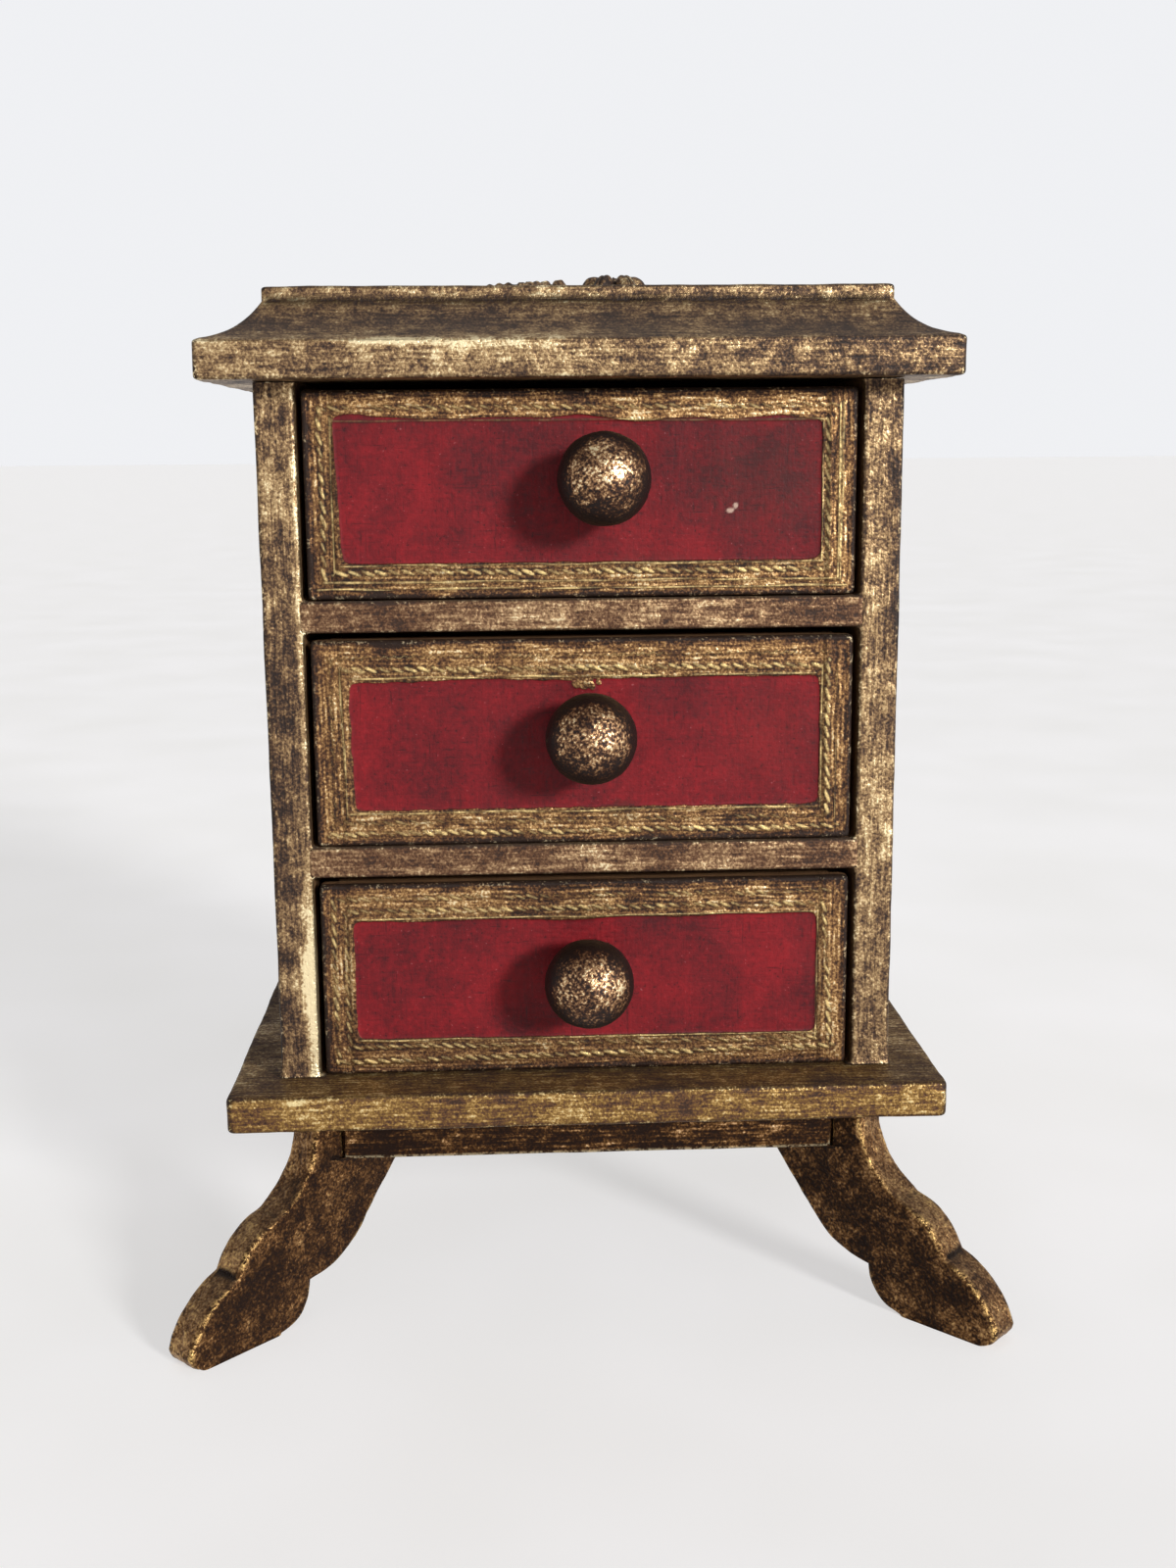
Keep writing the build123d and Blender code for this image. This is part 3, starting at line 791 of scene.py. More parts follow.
def in_plan(outline: np.ndarray, height: float) -> np.ndarray:
    """An outline of x and y as a ring at a height."""
    return np.column_stack([outline, np.full(len(outline), height)])


def rectangle(low_x: float, low_y: float, high_x: float, high_y: float) -> np.ndarray:
    """The four corners of a rectangle, anticlockwise."""
    return np.array([[low_x, low_y], [high_x, low_y], [high_x, high_y], [low_x, high_y]])


def plate_rings(corners: np.ndarray, profile: np.ndarray, corner_round: float, run: int = 70) -> np.ndarray:
    """Rings of a flat board: the outline moved in by profile[:, 0] at the height profile[:, 1].

    The corners of the outline keep one radius as they move in, until the board's half width runs out.

    Args:
        corners: the outline's corners, anticlockwise, at inset 0.
        profile: inset and height of each ring.
        corner_round: radius of the upright corners.
        run: points inside each straight run of the outline.
    Returns:
        An array of shape (rings, points, 3).
    """
    reach = np.abs(corners).min()
    radii = np.minimum(corner_round, np.maximum(reach - profile[:, 0], 0.0) * 0.5)
    return np.stack([in_plan(rounded_outline(moved_in(corners, inset), radius, run=run), height)
                     for (inset, height), radius in zip(profile, radii)])


@dataclass
class CaseCarcass:
    """Two side boards and two shelves whose front edges are the rails, gessoed and gilt as one face."""

    front_round: float = 1.1
    back_round: float = 0.4
    rebate_width: float = 4.5
    rebate_depth: float = 4.0
    foot_flare: float = 0.55
    flare_height: float = 2.4
    corner_fillet: float = 1.1
    fillet_reach: float = 1.2
    flare_reach: float = 4.0
    level_step: float = 1.6
    rail_round: float = 0.8
    rail_overlap: float = 1.8
    rail_proud: float = 0.04
    rail_end: float = 3.0
    end_dive: float = 0.7
    dive_run: float = 1.6
    skin: float = 1.4
    skin_edge: float = 0.4
    dive_depth: float = 2.0
    inner_slack: float = 0.3
    side_spots: dict[str, list[ToneAndHighlightSpot]] = field(default_factory=lambda: {
        "left": [ToneAndHighlightSpot((-66.0, -50.0, 132.0), (9.0, 9.0, 30.0), -0.16),
                 ToneAndHighlightSpot((-67.0, -50.0, 196.0), (3.0, 4.0, 9.0), 0.12),
                 # The next two spots are painted highlights along the left board's inner edge.
                 ToneAndHighlightSpot((-61.8, -50.0, 72.0), (2.2, 3.0, 26.0), 0.7),
                 ToneAndHighlightSpot((-61.6, -50.0, 165.0), (1.3, 2.0, 40.0), 0.3),
                 ToneAndHighlightSpot((-66.0, -50.0, 60.0), (7.0, 7.0, 12.0), -0.12)],
        "right": [ToneAndHighlightSpot((66.0, -50.0, 190.0), (5.0, 4.0, 5.0), -0.12),
                  ToneAndHighlightSpot((69.0, -50.0, 170.0), (2.0, 4.0, 30.0), -0.15),
                  ToneAndHighlightSpot((64.0, -50.0, 60.0), (7.0, 7.0, 9.0), -0.15)]})
    shelf_spots: dict[str, list[ToneAndHighlightSpot]] = field(default_factory=lambda: {
        "shelf_upper": [ToneAndHighlightSpot((-36.0, -50.0, 159.0), (24.0, 9.0, 9.0), -0.13),
                        ToneAndHighlightSpot((48.0, -50.0, 159.0), (12.0, 9.0, 9.0), -0.1),
                        ToneAndHighlightSpot((2.0, -50.0, 159.0), (20.0, 9.0, 9.0), 0.06)],
        "shelf_lower": [ToneAndHighlightSpot((-40.0, -50.0, 104.0), (16.0, 9.0, 9.0), -0.08)]})
    stile_finish: bpy.types.Material | None = None
    rail_finish: bpy.types.Material | None = None

    def side(self, hand: int) -> Shell:
        """One side board: an outline in plan with a rebate for the back, carried up the case.

        Near its foot the outline swells by foot_flare·exp(−height / flare_height), which is the gesso fillet
        that runs out over the plinth. In the corners of the drawer openings the inner face comes forward by
        R − √(R² − (R − d)²) at the distance d from a shelf, a round gesso fillet of radius R.

        Args:
            hand: −1 for the left board, 1 for the right one.
        Returns:
            The shell.
        """
        low, high = node_box("case_side_right")
        inner, outer = low[0], high[0]
        corners = np.array([
            [inner, low[1]], [outer, low[1]], [outer, high[1]], [inner + self.rebate_width, high[1]],
            [inner + self.rebate_width, high[1] - self.rebate_depth], [inner, high[1] - self.rebate_depth]])
        small = self.back_round
        radii = np.array([self.front_round, self.front_round, small, small, small, small])
        outline = rounded_outline(corners, radii, run=22)
        planes = [low[2], high[2]] + [corner[2] for shelf in ("shelf_lower", "shelf_upper")
                                      for corner in node_box(shelf)]
        beside = [plane + step for plane in planes for step in self.corner_fillet * np.linspace(-1.0, 1.0, 9)]
        levels = np.linspace(low[2], high[2], int((high[2] - low[2]) / self.level_step))
        heights = np.concatenate([levels, beside])
        heights = np.unique(np.round(np.clip(heights, low[2], high[2]), 2))
        rings = np.stack([in_plan(outline, height) for height in heights])
        near = np.abs(rings[..., 2, None] - np.array(planes)).min(axis=-1)
        sweep = np.clip(self.corner_fillet - near, 0.0, self.corner_fillet)
        fillet = self.corner_fillet - np.sqrt(self.corner_fillet ** 2 - sweep ** 2)
        rings[..., 0] -= fillet * smooth_step(inner + self.fillet_reach, inner, rings[..., 0])
        flare = self.foot_flare * np.exp(-(rings[..., 2] - low[2]) / self.flare_height)
        rings[..., 0] += flare * smooth_step(inner, outer, rings[..., 0])
        rings[..., 1] -= flare * smooth_step(low[1] + self.flare_reach, low[1], rings[..., 1])
        shell = Shell.from_rings(rings)
        inside = shell.points[:, 0] < inner + self.inner_slack
        shell.marks["bare"] = self.bareness(shell, low[1]) * inside
        shell.points[:, 0] *= hand
        return shell

    def bareness(self, shell: Shell, front: float) -> np.ndarray:
        """0 on the gilt front of a board and 1 farther behind it than the skin of gesso reaches."""
        edge = front + self.skin
        return smooth_step(edge, edge + self.skin_edge, shell.points[:, 1])

    def shelf(self, node: str) -> Shell:
        """One shelf: its end outline carried from side to side, with a rounded and gilt front edge.

        Each end runs rail_overlap into the side board's front edge and dives back there, out of sight.
        """
        low, high = node_box(node)
        reach = node_box("case_side_right")[0][0] + self.rail_overlap
        corners = rectangle(low[1] - self.rail_proud, low[2], high[1], high[2])
        radii = np.array([self.rail_round, self.back_round, self.back_round, self.rail_round])
        outline = rounded_outline(corners, radii, run=20)
        end = np.linspace(reach - self.rail_end, reach, 12)[1:]
        middle = np.linspace(self.rail_end - reach, reach - self.rail_end, 76)
        places = np.concatenate([-end[::-1], middle, end])
        rings = np.stack([np.column_stack([np.full(len(outline), x), outline]) for x in places])
        dive = self.end_dive * smooth_step(reach - self.dive_run, reach, np.abs(rings[..., 0]))
        rings[..., 1] += dive * (rings[..., 1] < low[1] + self.dive_depth)
        shell = Shell.from_rings(rings)
        shell.marks["bare"] = self.bareness(shell, low[1])
        return shell

    def build(self) -> None:
        """Makes both sides and both shelves."""
        for hand, side in ((-1, "left"), (1, "right")):
            shell = mark_tone(self.side(hand), self.side_spots[side])
            make_piece(f"{side}_side_board", shell, self.stile_finish,
                       Place("case", (f"case_side_{side}",), "gilded_wood"), Handwork(0.22, 16.0, 3 + hand))
        for row, node in enumerate(("shelf_lower", "shelf_upper")):
            shell = mark_tone(self.shelf(node), self.shelf_spots[node])
            make_piece(f"{node}_rail", shell, self.rail_finish,
                       Place("case", (node,), "gilded_wood"), Handwork(0.08, 11.0, 11 + row))


@dataclass
class MouldedTop:
    """The top board: an upright band, a hollow moulding above it and a raised flat."""

    band_height: float = 8.2
    hollow_run: float = 12.8
    hollow_rise: float = 8.6
    hollow_depth: float = 1.5
    lip_run: float = 1.4
    lip_rise: float = 0.6
    lip_start: float = 2.0
    edge_round: float = 1.1
    corner_round: float = 1.3
    spots: list[ToneAndHighlightSpot] = field(default_factory=lambda: [
        # The first two spots are painted highlights along the band.
        ToneAndHighlightSpot((-39.0, -60.6, 216.4), (9.0, 3.0, 0.9), 0.55),
        ToneAndHighlightSpot((-20.0, -60.6, 216.0), (16.0, 4.0, 1.6), 0.2),
        ToneAndHighlightSpot((62.0, -60.6, 212.0), (22.0, 9.0, 9.0), -0.16),
        ToneAndHighlightSpot((0.0, -52.0, 221.0), (200.0, 6.0, 3.5), -0.15)])
    finish: bpy.types.Material | None = None

    def profile(self) -> np.ndarray:
        """Inset and height from the middle of the underside, round the edge, to the middle of the flat."""
        low, high = node_box("top_board")
        half_width = high[1]
        band_top = low[2] + self.band_height
        band_end = [0.0, band_top - self.lip_start]
        lip_end = [self.lip_run, band_top + self.lip_rise]
        hollow_end = [self.hollow_run, band_top + self.hollow_rise]
        lower = rounded_path(np.array([[half_width, low[2]], [0.0, low[2]], band_end]),
                             [self.edge_round], step=2.0)
        lip = rounded_path(np.array([band_end, [0.0, band_top], lip_end]), [self.edge_round], step=0.5)
        hollow = bowed(lip_end, hollow_end, -self.hollow_depth, np.linspace(0.0, 1.0, 16))
        flat = rounded_path(np.array([hollow_end, [self.hollow_run, high[2]], [half_width, high[2]]]),
                            [self.edge_round], step=1.5)
        return np.concatenate([lower, lip[1:], hollow[1:], flat[1:]])

    def build(self) -> None:
        """Makes the top board."""
        low, high = node_box("top_board")
        corners = rectangle(low[0], low[1], high[0], high[1])
        shell = Shell.from_rings(plate_rings(corners, self.profile(), self.corner_round), (False, False))
        make_piece("moulded_top", mark_tone(shell, self.spots), self.finish,
                   Place("case", ("top_board",), "gilded_wood"), Handwork(0.3, 17.0, 21))


@dataclass
class Ornament:
    """Cast gesso ornament on the top: a flower, three berries and five leaves on a thin oval ground."""

    ground_rise: float = 0.9
    mound_rise: float = 2.4
    petal_count: int = 6
    petal_ring: float = 4.6
    petal_length: float = 3.9
    petal_width: float = 2.9
    petal_rise: float = 6.1
    flower_x: float = 10.0
    heart_radius: float = 2.7
    heart_rise: float = 5.5
    berry_radius: float = 2.3
    berry_rise: float = 5.3
    berries: tuple[tuple[float, float], ...] = ((-6.4, 0.2), (-3.2, -2.6), (-2.6, 3.0))
    leaf_length: float = 17.0
    leaf_width: float = 7.0
    rib_width: float = 0.35
    vein_height: float = 0.28
    vein_pitch: float = 2.3
    groove_depth: float = 0.7
    groove_width: float = 0.4
    seed_height: float = 0.25
    cast_roughness: float = 0.12
    leaves: tuple[tuple[float, float, float, float], ...] = (
        (-15.5, 0.0, 4.0, 4.9), (-9.0, 9.0, -38.0, 4.7), (-9.0, -9.0, 38.0, 4.3), (20.5, 6.5, 28.0, 3.9),
        (20.5, -6.5, -28.0, 3.4))
    finish: bpy.types.Material | None = None

    def dome(self, x: np.ndarray, y: np.ndarray, long: float, wide: float, rise: float) -> np.ndarray:
        """Half an egg: rise·(1 − (x / long)² − (y / wide)²) to the power 0.45, and 0 outside it."""
        return rise * np.clip(1.0 - (x / long) ** 2 - (y / wide) ** 2, 0.0, None) ** 0.45

    def leaf(self, x: np.ndarray, y: np.ndarray, rise: float) -> np.ndarray:
        """A pointed leaf: a ridge over the half width w(x), with a grooved midrib and slanting veins.

        w(x) is leaf_width / 2·(1 − (2x / leaf_length)²), and the ridge falls as (1 − |y| / w) to the
        power 0.55.
        """
        half = np.clip(self.leaf_width / 2.0 * (1.0 - (2.0 * x / self.leaf_length) ** 2), 1e-3, None)
        across = np.clip(1.0 - np.abs(y) / half, 0.0, 1.0)
        body = rise * across ** 0.55 * (0.72 + 0.28 * (1.0 - (2.0 * x / self.leaf_length) ** 2))
        rib = self.groove_depth * np.exp(-(y / self.rib_width) ** 2)
        veins = self.vein_height * np.cos(2.0 * math.pi * (x / self.vein_pitch - np.abs(y) / 2.6))
        return np.where(across > 0.0, np.clip(body - rib + veins * across, 0.0, None), 0.0)

    def relief(self, x: np.ndarray, y: np.ndarray) -> np.ndarray:
        """Height over the flat at each place: the highest of all the motifs over the domed oval ground."""
        low, high = node_box("top_ornament")
        reach = (high - low) / 2.0
        height = self.ground_rise + self.dome(x, y, reach[0], reach[1], self.mound_rise)
        for mid_x, mid_y, turn, rise in self.leaves:
            c, s = math.cos(math.radians(turn)), math.sin(math.radians(turn))
            u, v = (x - mid_x) * c + (y - mid_y) * s, (y - mid_y) * c - (x - mid_x) * s
            height = np.maximum(height, self.leaf(u, v, rise))
        for mid_x, mid_y in self.berries:
            berry = self.dome(x - mid_x, y - mid_y, self.berry_radius, self.berry_radius, self.berry_rise)
            pit = 0.6 * np.exp(-((x - mid_x) ** 2 + (y - mid_y) ** 2) / 0.3)
            height = np.maximum(height, berry - pit)
        for turn in np.arange(self.petal_count) * 2.0 * math.pi / self.petal_count:
            c, s = math.cos(turn), math.sin(turn)
            u, v = (x - self.flower_x) * c + y * s - self.petal_ring, y * c - (x - self.flower_x) * s
            petal = self.dome(u, v, self.petal_length, self.petal_width, self.petal_rise)
            groove = self.groove_depth * np.exp(-(v / self.groove_width) ** 2)
            height = np.maximum(height, petal - groove * (petal > 0.0))
        heart = self.dome(x - self.flower_x, y, self.heart_radius, self.heart_radius, self.heart_rise)
        seeds = self.seed_height * np.cos((x - self.flower_x) * 5.5) * np.cos(y * 5.5)
        return np.maximum(height, heart + seeds * (heart > 0.0))

    def build(self) -> None:
        """Makes the relief on rings of an ellipse, from its rim to its middle, with a closed underside."""
        low, high = node_box("top_ornament")
        half_x, half_y, _ = (high - low) / 2.0
        around = np.linspace(0.0, 2.0 * math.pi, 420, endpoint=False)
        share = np.linspace(1.0, 0.0, 130)
        x = share[:, None] * half_x * np.cos(around)
        y = share[:, None] * half_y * np.sin(around)
        height = self.relief(x, y) + self.cast_roughness * ripple(np.stack([x, y], axis=-1), 3.0, 31)
        rim = smooth_step(1.0, 0.95, share)[:, None]
        top = np.stack([x, y, low[2] + np.clip(height, 0.1, high[2] - low[2] - 0.01) * rim], axis=-1)
        shell = Shell.from_rings(top, (True, False))
        make_piece("gesso_ornament", shell, self.finish, Place("case", ("top_ornament",), "gilded_gesso"))


@dataclass
class PlinthAndBase:
    """The wide plinth board under the case and the narrower base board with clipped corners under that."""

    plinth_round: float = 1.3
    plinth_corner: float = 1.6
    base_round: float = 1.2
    base_top_round: float = 0.2
    base_closing: tuple[float, float] = (10.0, 6.0)
    corner_clip: float = 9.0 / math.sqrt(2.0)
    clip_round: float = 0.12
    plinth_finish: bpy.types.Material | None = None
    base_finish: bpy.types.Material | None = None

    def plinth(self) -> Shell:
        """A flat board with rounded edges, as rings from the middle of its underside to that of its top."""
        low, high = node_box("plinth_board")
        corners = rectangle(low[0], low[1], high[0], high[1])
        half = np.abs(corners).min()
        profile = rounded_path(np.array([[half, low[2]], [0.0, low[2]], [0.0, high[2]], [half, high[2]]]),
                               [self.plinth_round, self.plinth_round], step=1.5)
        return Shell.from_rings(plate_rings(corners, profile, self.plinth_corner), (False, False))

    def base(self) -> Shell:
        """A flat board whose corners are clipped for the legs, as rings with a filled ring below and above."""
        low, high = node_box("base_board")
        clip = self.corner_clip
        corners = np.array([
            [low[0] + clip, low[1]], [high[0] - clip, low[1]],
            [high[0], low[1] + clip], [high[0], high[1] - clip],
            [high[0] - clip, high[1]], [low[0] + clip, high[1]],
            [low[0], high[1] - clip], [low[0], low[1] + clip]])
        below, above = self.base_closing
        profile = rounded_path(np.array([[below, low[2]], [0.0, low[2]], [0.0, high[2]], [above, high[2]]]),
                               [self.base_round, self.base_top_round], step=1.5)
        return Shell.from_rings(np.stack([
            in_plan(rounded_outline(moved_in(corners, inset), self.clip_round, run=30), height)
            for inset, height in profile]))

    def build(self) -> None:
        """Makes both boards."""
        make_piece("plinth", self.plinth(), self.plinth_finish, Place("case", ("plinth_board",), "gilded_wood"),
                   Handwork(0.3, 15.0, 41))
        make_piece("base", self.base(), self.base_finish, Place("case", ("base_board",), "gilded_wood"),
                   Handwork(0.2, 13.0, 42))


@dataclass
class SawnLeg:
    """A flat leg sawn to a profile, with rubbed arrises and an outer edge face painted lighter as a painted
    reflection, set at 45 degrees on a corner of the base board.

    Profile points are (distance outwards from the base board's corner, height above the floor).
    """

    thickness: float = 9.0
    arris_round: float = 1.5
    outer_edge_light: float = 0.2
    horn_top: tuple[float, float] = (3.5, 44.9)
    knee_top: tuple[float, float] = (14.5, 27.5)
    outer_nick: tuple[float, float] = (26.4, 17.3)
    toe_tip: tuple[float, float] = (39.7, 3.5)
    toe_end: tuple[float, float] = (36.5, 0.0)
    heel_end: tuple[float, float] = (15.0, 0.0)
    inner_nick: tuple[float, float] = (6.0, 9.6)
    calf_top: tuple[float, float] = (-11.0, 19.8)
    shoulder_end: tuple[float, float] = (-24.0, 35.1)
    clip_low: tuple[float, float] = (-4.5, 35.1)
    clip_top: tuple[float, float] = (-4.5, 44.9)
    horn_shares: tuple[float, ...] = (0.0, 0.3, 0.55, 1.0)
    horn_bulge: float = -2.8
    knee_bulge: float = 2.0
    foot_bulge: float = 2.4
    toe_bulge: float = 0.8
    calf_bulge: float = -2.4
    heel_bulge: float = -2.6
    heel_share: float = 0.92
    finish: bpy.types.Material | None = None

    def chains(self, steps: int) -> tuple[np.ndarray, np.ndarray]:
        """The outer and the inner edge of the profile, matched point for point from the horn to the sole.

        Args:
            steps: points on each of the six stretches that both edges are cut into.
        Returns:
            The points of the outer edge and of the inner edge.
        """
        share = np.linspace(0.0, 1.0, steps)
        outer = [bowed(self.horn_top, self.knee_top, self.horn_bulge, first + (last - first) * share)
                 for first, last in zip(self.horn_shares[:-1], self.horn_shares[1:])]
        outer += [bowed(self.knee_top, self.outer_nick, self.knee_bulge, share),
                  bowed(self.outer_nick, self.toe_tip, self.foot_bulge, share),
                  bowed(self.toe_tip, self.toe_end, self.toe_bulge, share)]
        to_heel, past_heel = self.heel_share * share, self.heel_share + (1.0 - self.heel_share) * share
        inner = [bowed(self.clip_top, self.clip_low, 0.0, share),
                 bowed(self.clip_low, self.shoulder_end, 0.0, share),
                 bowed(self.shoulder_end, self.calf_top, 0.0, share),
                 bowed(self.calf_top, self.inner_nick, self.calf_bulge, share),
                 bowed(self.inner_nick, self.heel_end, self.heel_bulge, to_heel),
                 bowed(self.inner_nick, self.heel_end, self.heel_bulge, past_heel)]
        return np.concatenate(outer), np.concatenate(inner)

    def shell(self, side: int, end: int) -> Shell:
        """Rounded oblong sections between the two edges of the profile, one below the other.

        A section's point lies at r + f·(L − 2r) plus its place on the rounding, along the section's length L,
        where r is the rounding and f the share of the straight run.

        Args:
            side: −1 for left, 1 for right.
            end: −1 for front, 1 for back.
        Returns:
            The shell.
        """
        outer, inner = self.chains(16)
        length = np.linalg.norm(inner - outer, axis=1, keepdims=True)
        heading = (inner - outer) / length
        radius, half = self.arris_round, self.thickness / 2.0
        unit = 4.0 * radius
        ring = rounded_outline(rectangle(0.0, -half, unit, half), radius, run=14)
        share = np.clip((ring[:, 0] - radius) / (unit - 2.0 * radius), 0.0, 1.0)
        rest = ring[:, 0] - radius - share * (unit - 2.0 * radius)
        along = radius + share * (length - 2.0 * radius) + rest
        reach = outer[:, :1] + heading[:, :1] * along
        height = outer[:, 1:] + heading[:, 1:] * along
        _, high = node_box("base_board")
        corner = np.array([high[0] * side, high[1] * end])
        diagonal = np.array([side, end]) / math.sqrt(2.0)
        sideways = np.array([-diagonal[1], diagonal[0]])
        x = corner[0] + reach * diagonal[0] + ring[:, 1] * sideways[0]
        y = corner[1] + reach * diagonal[1] + ring[:, 1] * sideways[1]
        shell = Shell.from_rings(np.stack([x, y, np.clip(height, 0.0, None)], axis=-1))
        # The outer edge face is painted lighter: a painted reflection of bright surroundings.
        shell.marks["tone"] = np.tile(self.outer_edge_light * smooth_step(2.2, 0.6, ring[:, 0]), len(outer))
        return shell

    def build(self) -> None:
        """Makes the four legs."""
        for row, (end, depth) in enumerate(((-1, "front"), (1, "back"))):
            for hand, side in ((-1, "left"), (1, "right")):
                node = f"leg_{depth}_{side}"
                make_piece(f"{depth}_{side}_leg", self.shell(hand, end), self.finish,
                           Place("case", (node,), "gilded_wood"), Handwork(0.35, 7.0, 51 + 2 * row + hand))


# --- The drawers ----------------------------------------------------------------------------------


class Edge(Enum):
    """An edge of a drawer front."""

    LEFT = "left"
    RIGHT = "right"
    TOP = "top"
    BOTTOM = "bottom"


class Stamp(Enum):
    """What a tooling wheel leaves: slanting rope strokes, a plain line or a wavy line."""

    ROPE = "rope"
    LINE = "line"
    WAVE = "wave"


@dataclass(frozen=True)
class ToolRow:
    """One row of tooling that runs along an edge, from inset start to inset end, at a strength."""

    edge: Edge
    stamp: Stamp
    start: float
    end: float
    strength: float = 1.0
    slant: float = 21.0
    rope_pitch: float = 2.9
    rope_length: float = 1.65
    rope_width: float = 0.36
    cord_half: float = 1.0
    cord_rise: float = 0.22
    wave_pitch: float = 2.1
    sway: float = 0.3
    line_width: float = 0.24
    line_rise: float = 0.9
    drift: float = 0.16
    slip: float = 0.25
    fading: float = 0.35

    def relief(self, along: np.ndarray, across: np.ndarray, share: np.ndarray, seed: int) -> np.ndarray:
        """Height of the row, about 0 to 1.

        A rope repeats t = along modulo its pitch. Its stroke is exp(−(a / length)⁶ − (b / taper)²) in axes a
        and b turned by the slant, on a low cord exp(−(off / half)⁴), where off is the distance from the row.
        A line is exp(−(off / width)²), and a wave is a line that sways as a sine.

        Args:
            along: distance along the edge.
            across: distance from the edge.
            share: 0 at the start of the edge and 1 at its end.
            seed: picks how the row wanders and fades.
        Returns:
            The height at each place.
        """
        line = np.stack([along, np.zeros_like(along)], axis=-1)
        off = across - (self.start + (self.end - self.start) * share) - self.drift * ripple(line, 21.0, seed)
        along = along + self.slip * ripple(line, 9.0, seed + 1)
        fade = np.clip(0.8 + self.fading * ripple(line, 12.0, seed + 2), 0.25, 1.1) * self.strength
        if self.stamp is Stamp.ROPE:
            t = (np.mod(along / self.rope_pitch, 1.0) - 0.5) * self.rope_pitch
            slant = -self.slant if self.edge in (Edge.BOTTOM, Edge.RIGHT) else self.slant
            c, s = math.cos(math.radians(slant)), math.sin(math.radians(slant))
            a, b = t * c + off * s, off * c - t * s
            taper = self.rope_width * np.clip(1.15 - 0.4 * (a / self.rope_length) ** 2, 0.3, None)
            stroke = np.exp(-(a / self.rope_length) ** 6 - (b / taper) ** 2)
            return fade * np.maximum(stroke, self.cord_rise * np.exp(-(off / self.cord_half) ** 4))
        if self.stamp is Stamp.WAVE:
            off = off - self.sway * np.sin(2.0 * math.pi * along / self.wave_pitch)
        return self.line_rise * fade * np.exp(-(off / self.line_width) ** 2)


@dataclass(frozen=True)
class Mark:
    """A round mark on a drawer front, at x and z from its centre: a spill of gold, a dirty mark, a broad patch
    of painted shade or a chip.
    """

    x: float
    z: float
    wide: float
    high: float
    depth: float = 1.0
    rim: float = 0.4

    def spread(self, x: np.ndarray, z: np.ndarray) -> np.ndarray:
        """The mark's depth inside it, falling to 0 over its rim."""
        far = np.sqrt(((x - self.x) / self.wide) ** 2 + ((z - self.z) / self.high) ** 2)
        far = far + 0.25 * ripple(np.stack([x, z], axis=-1), 2.5, 77)
        return self.depth * smooth_step(1.15, 1.15 - self.rim, far)


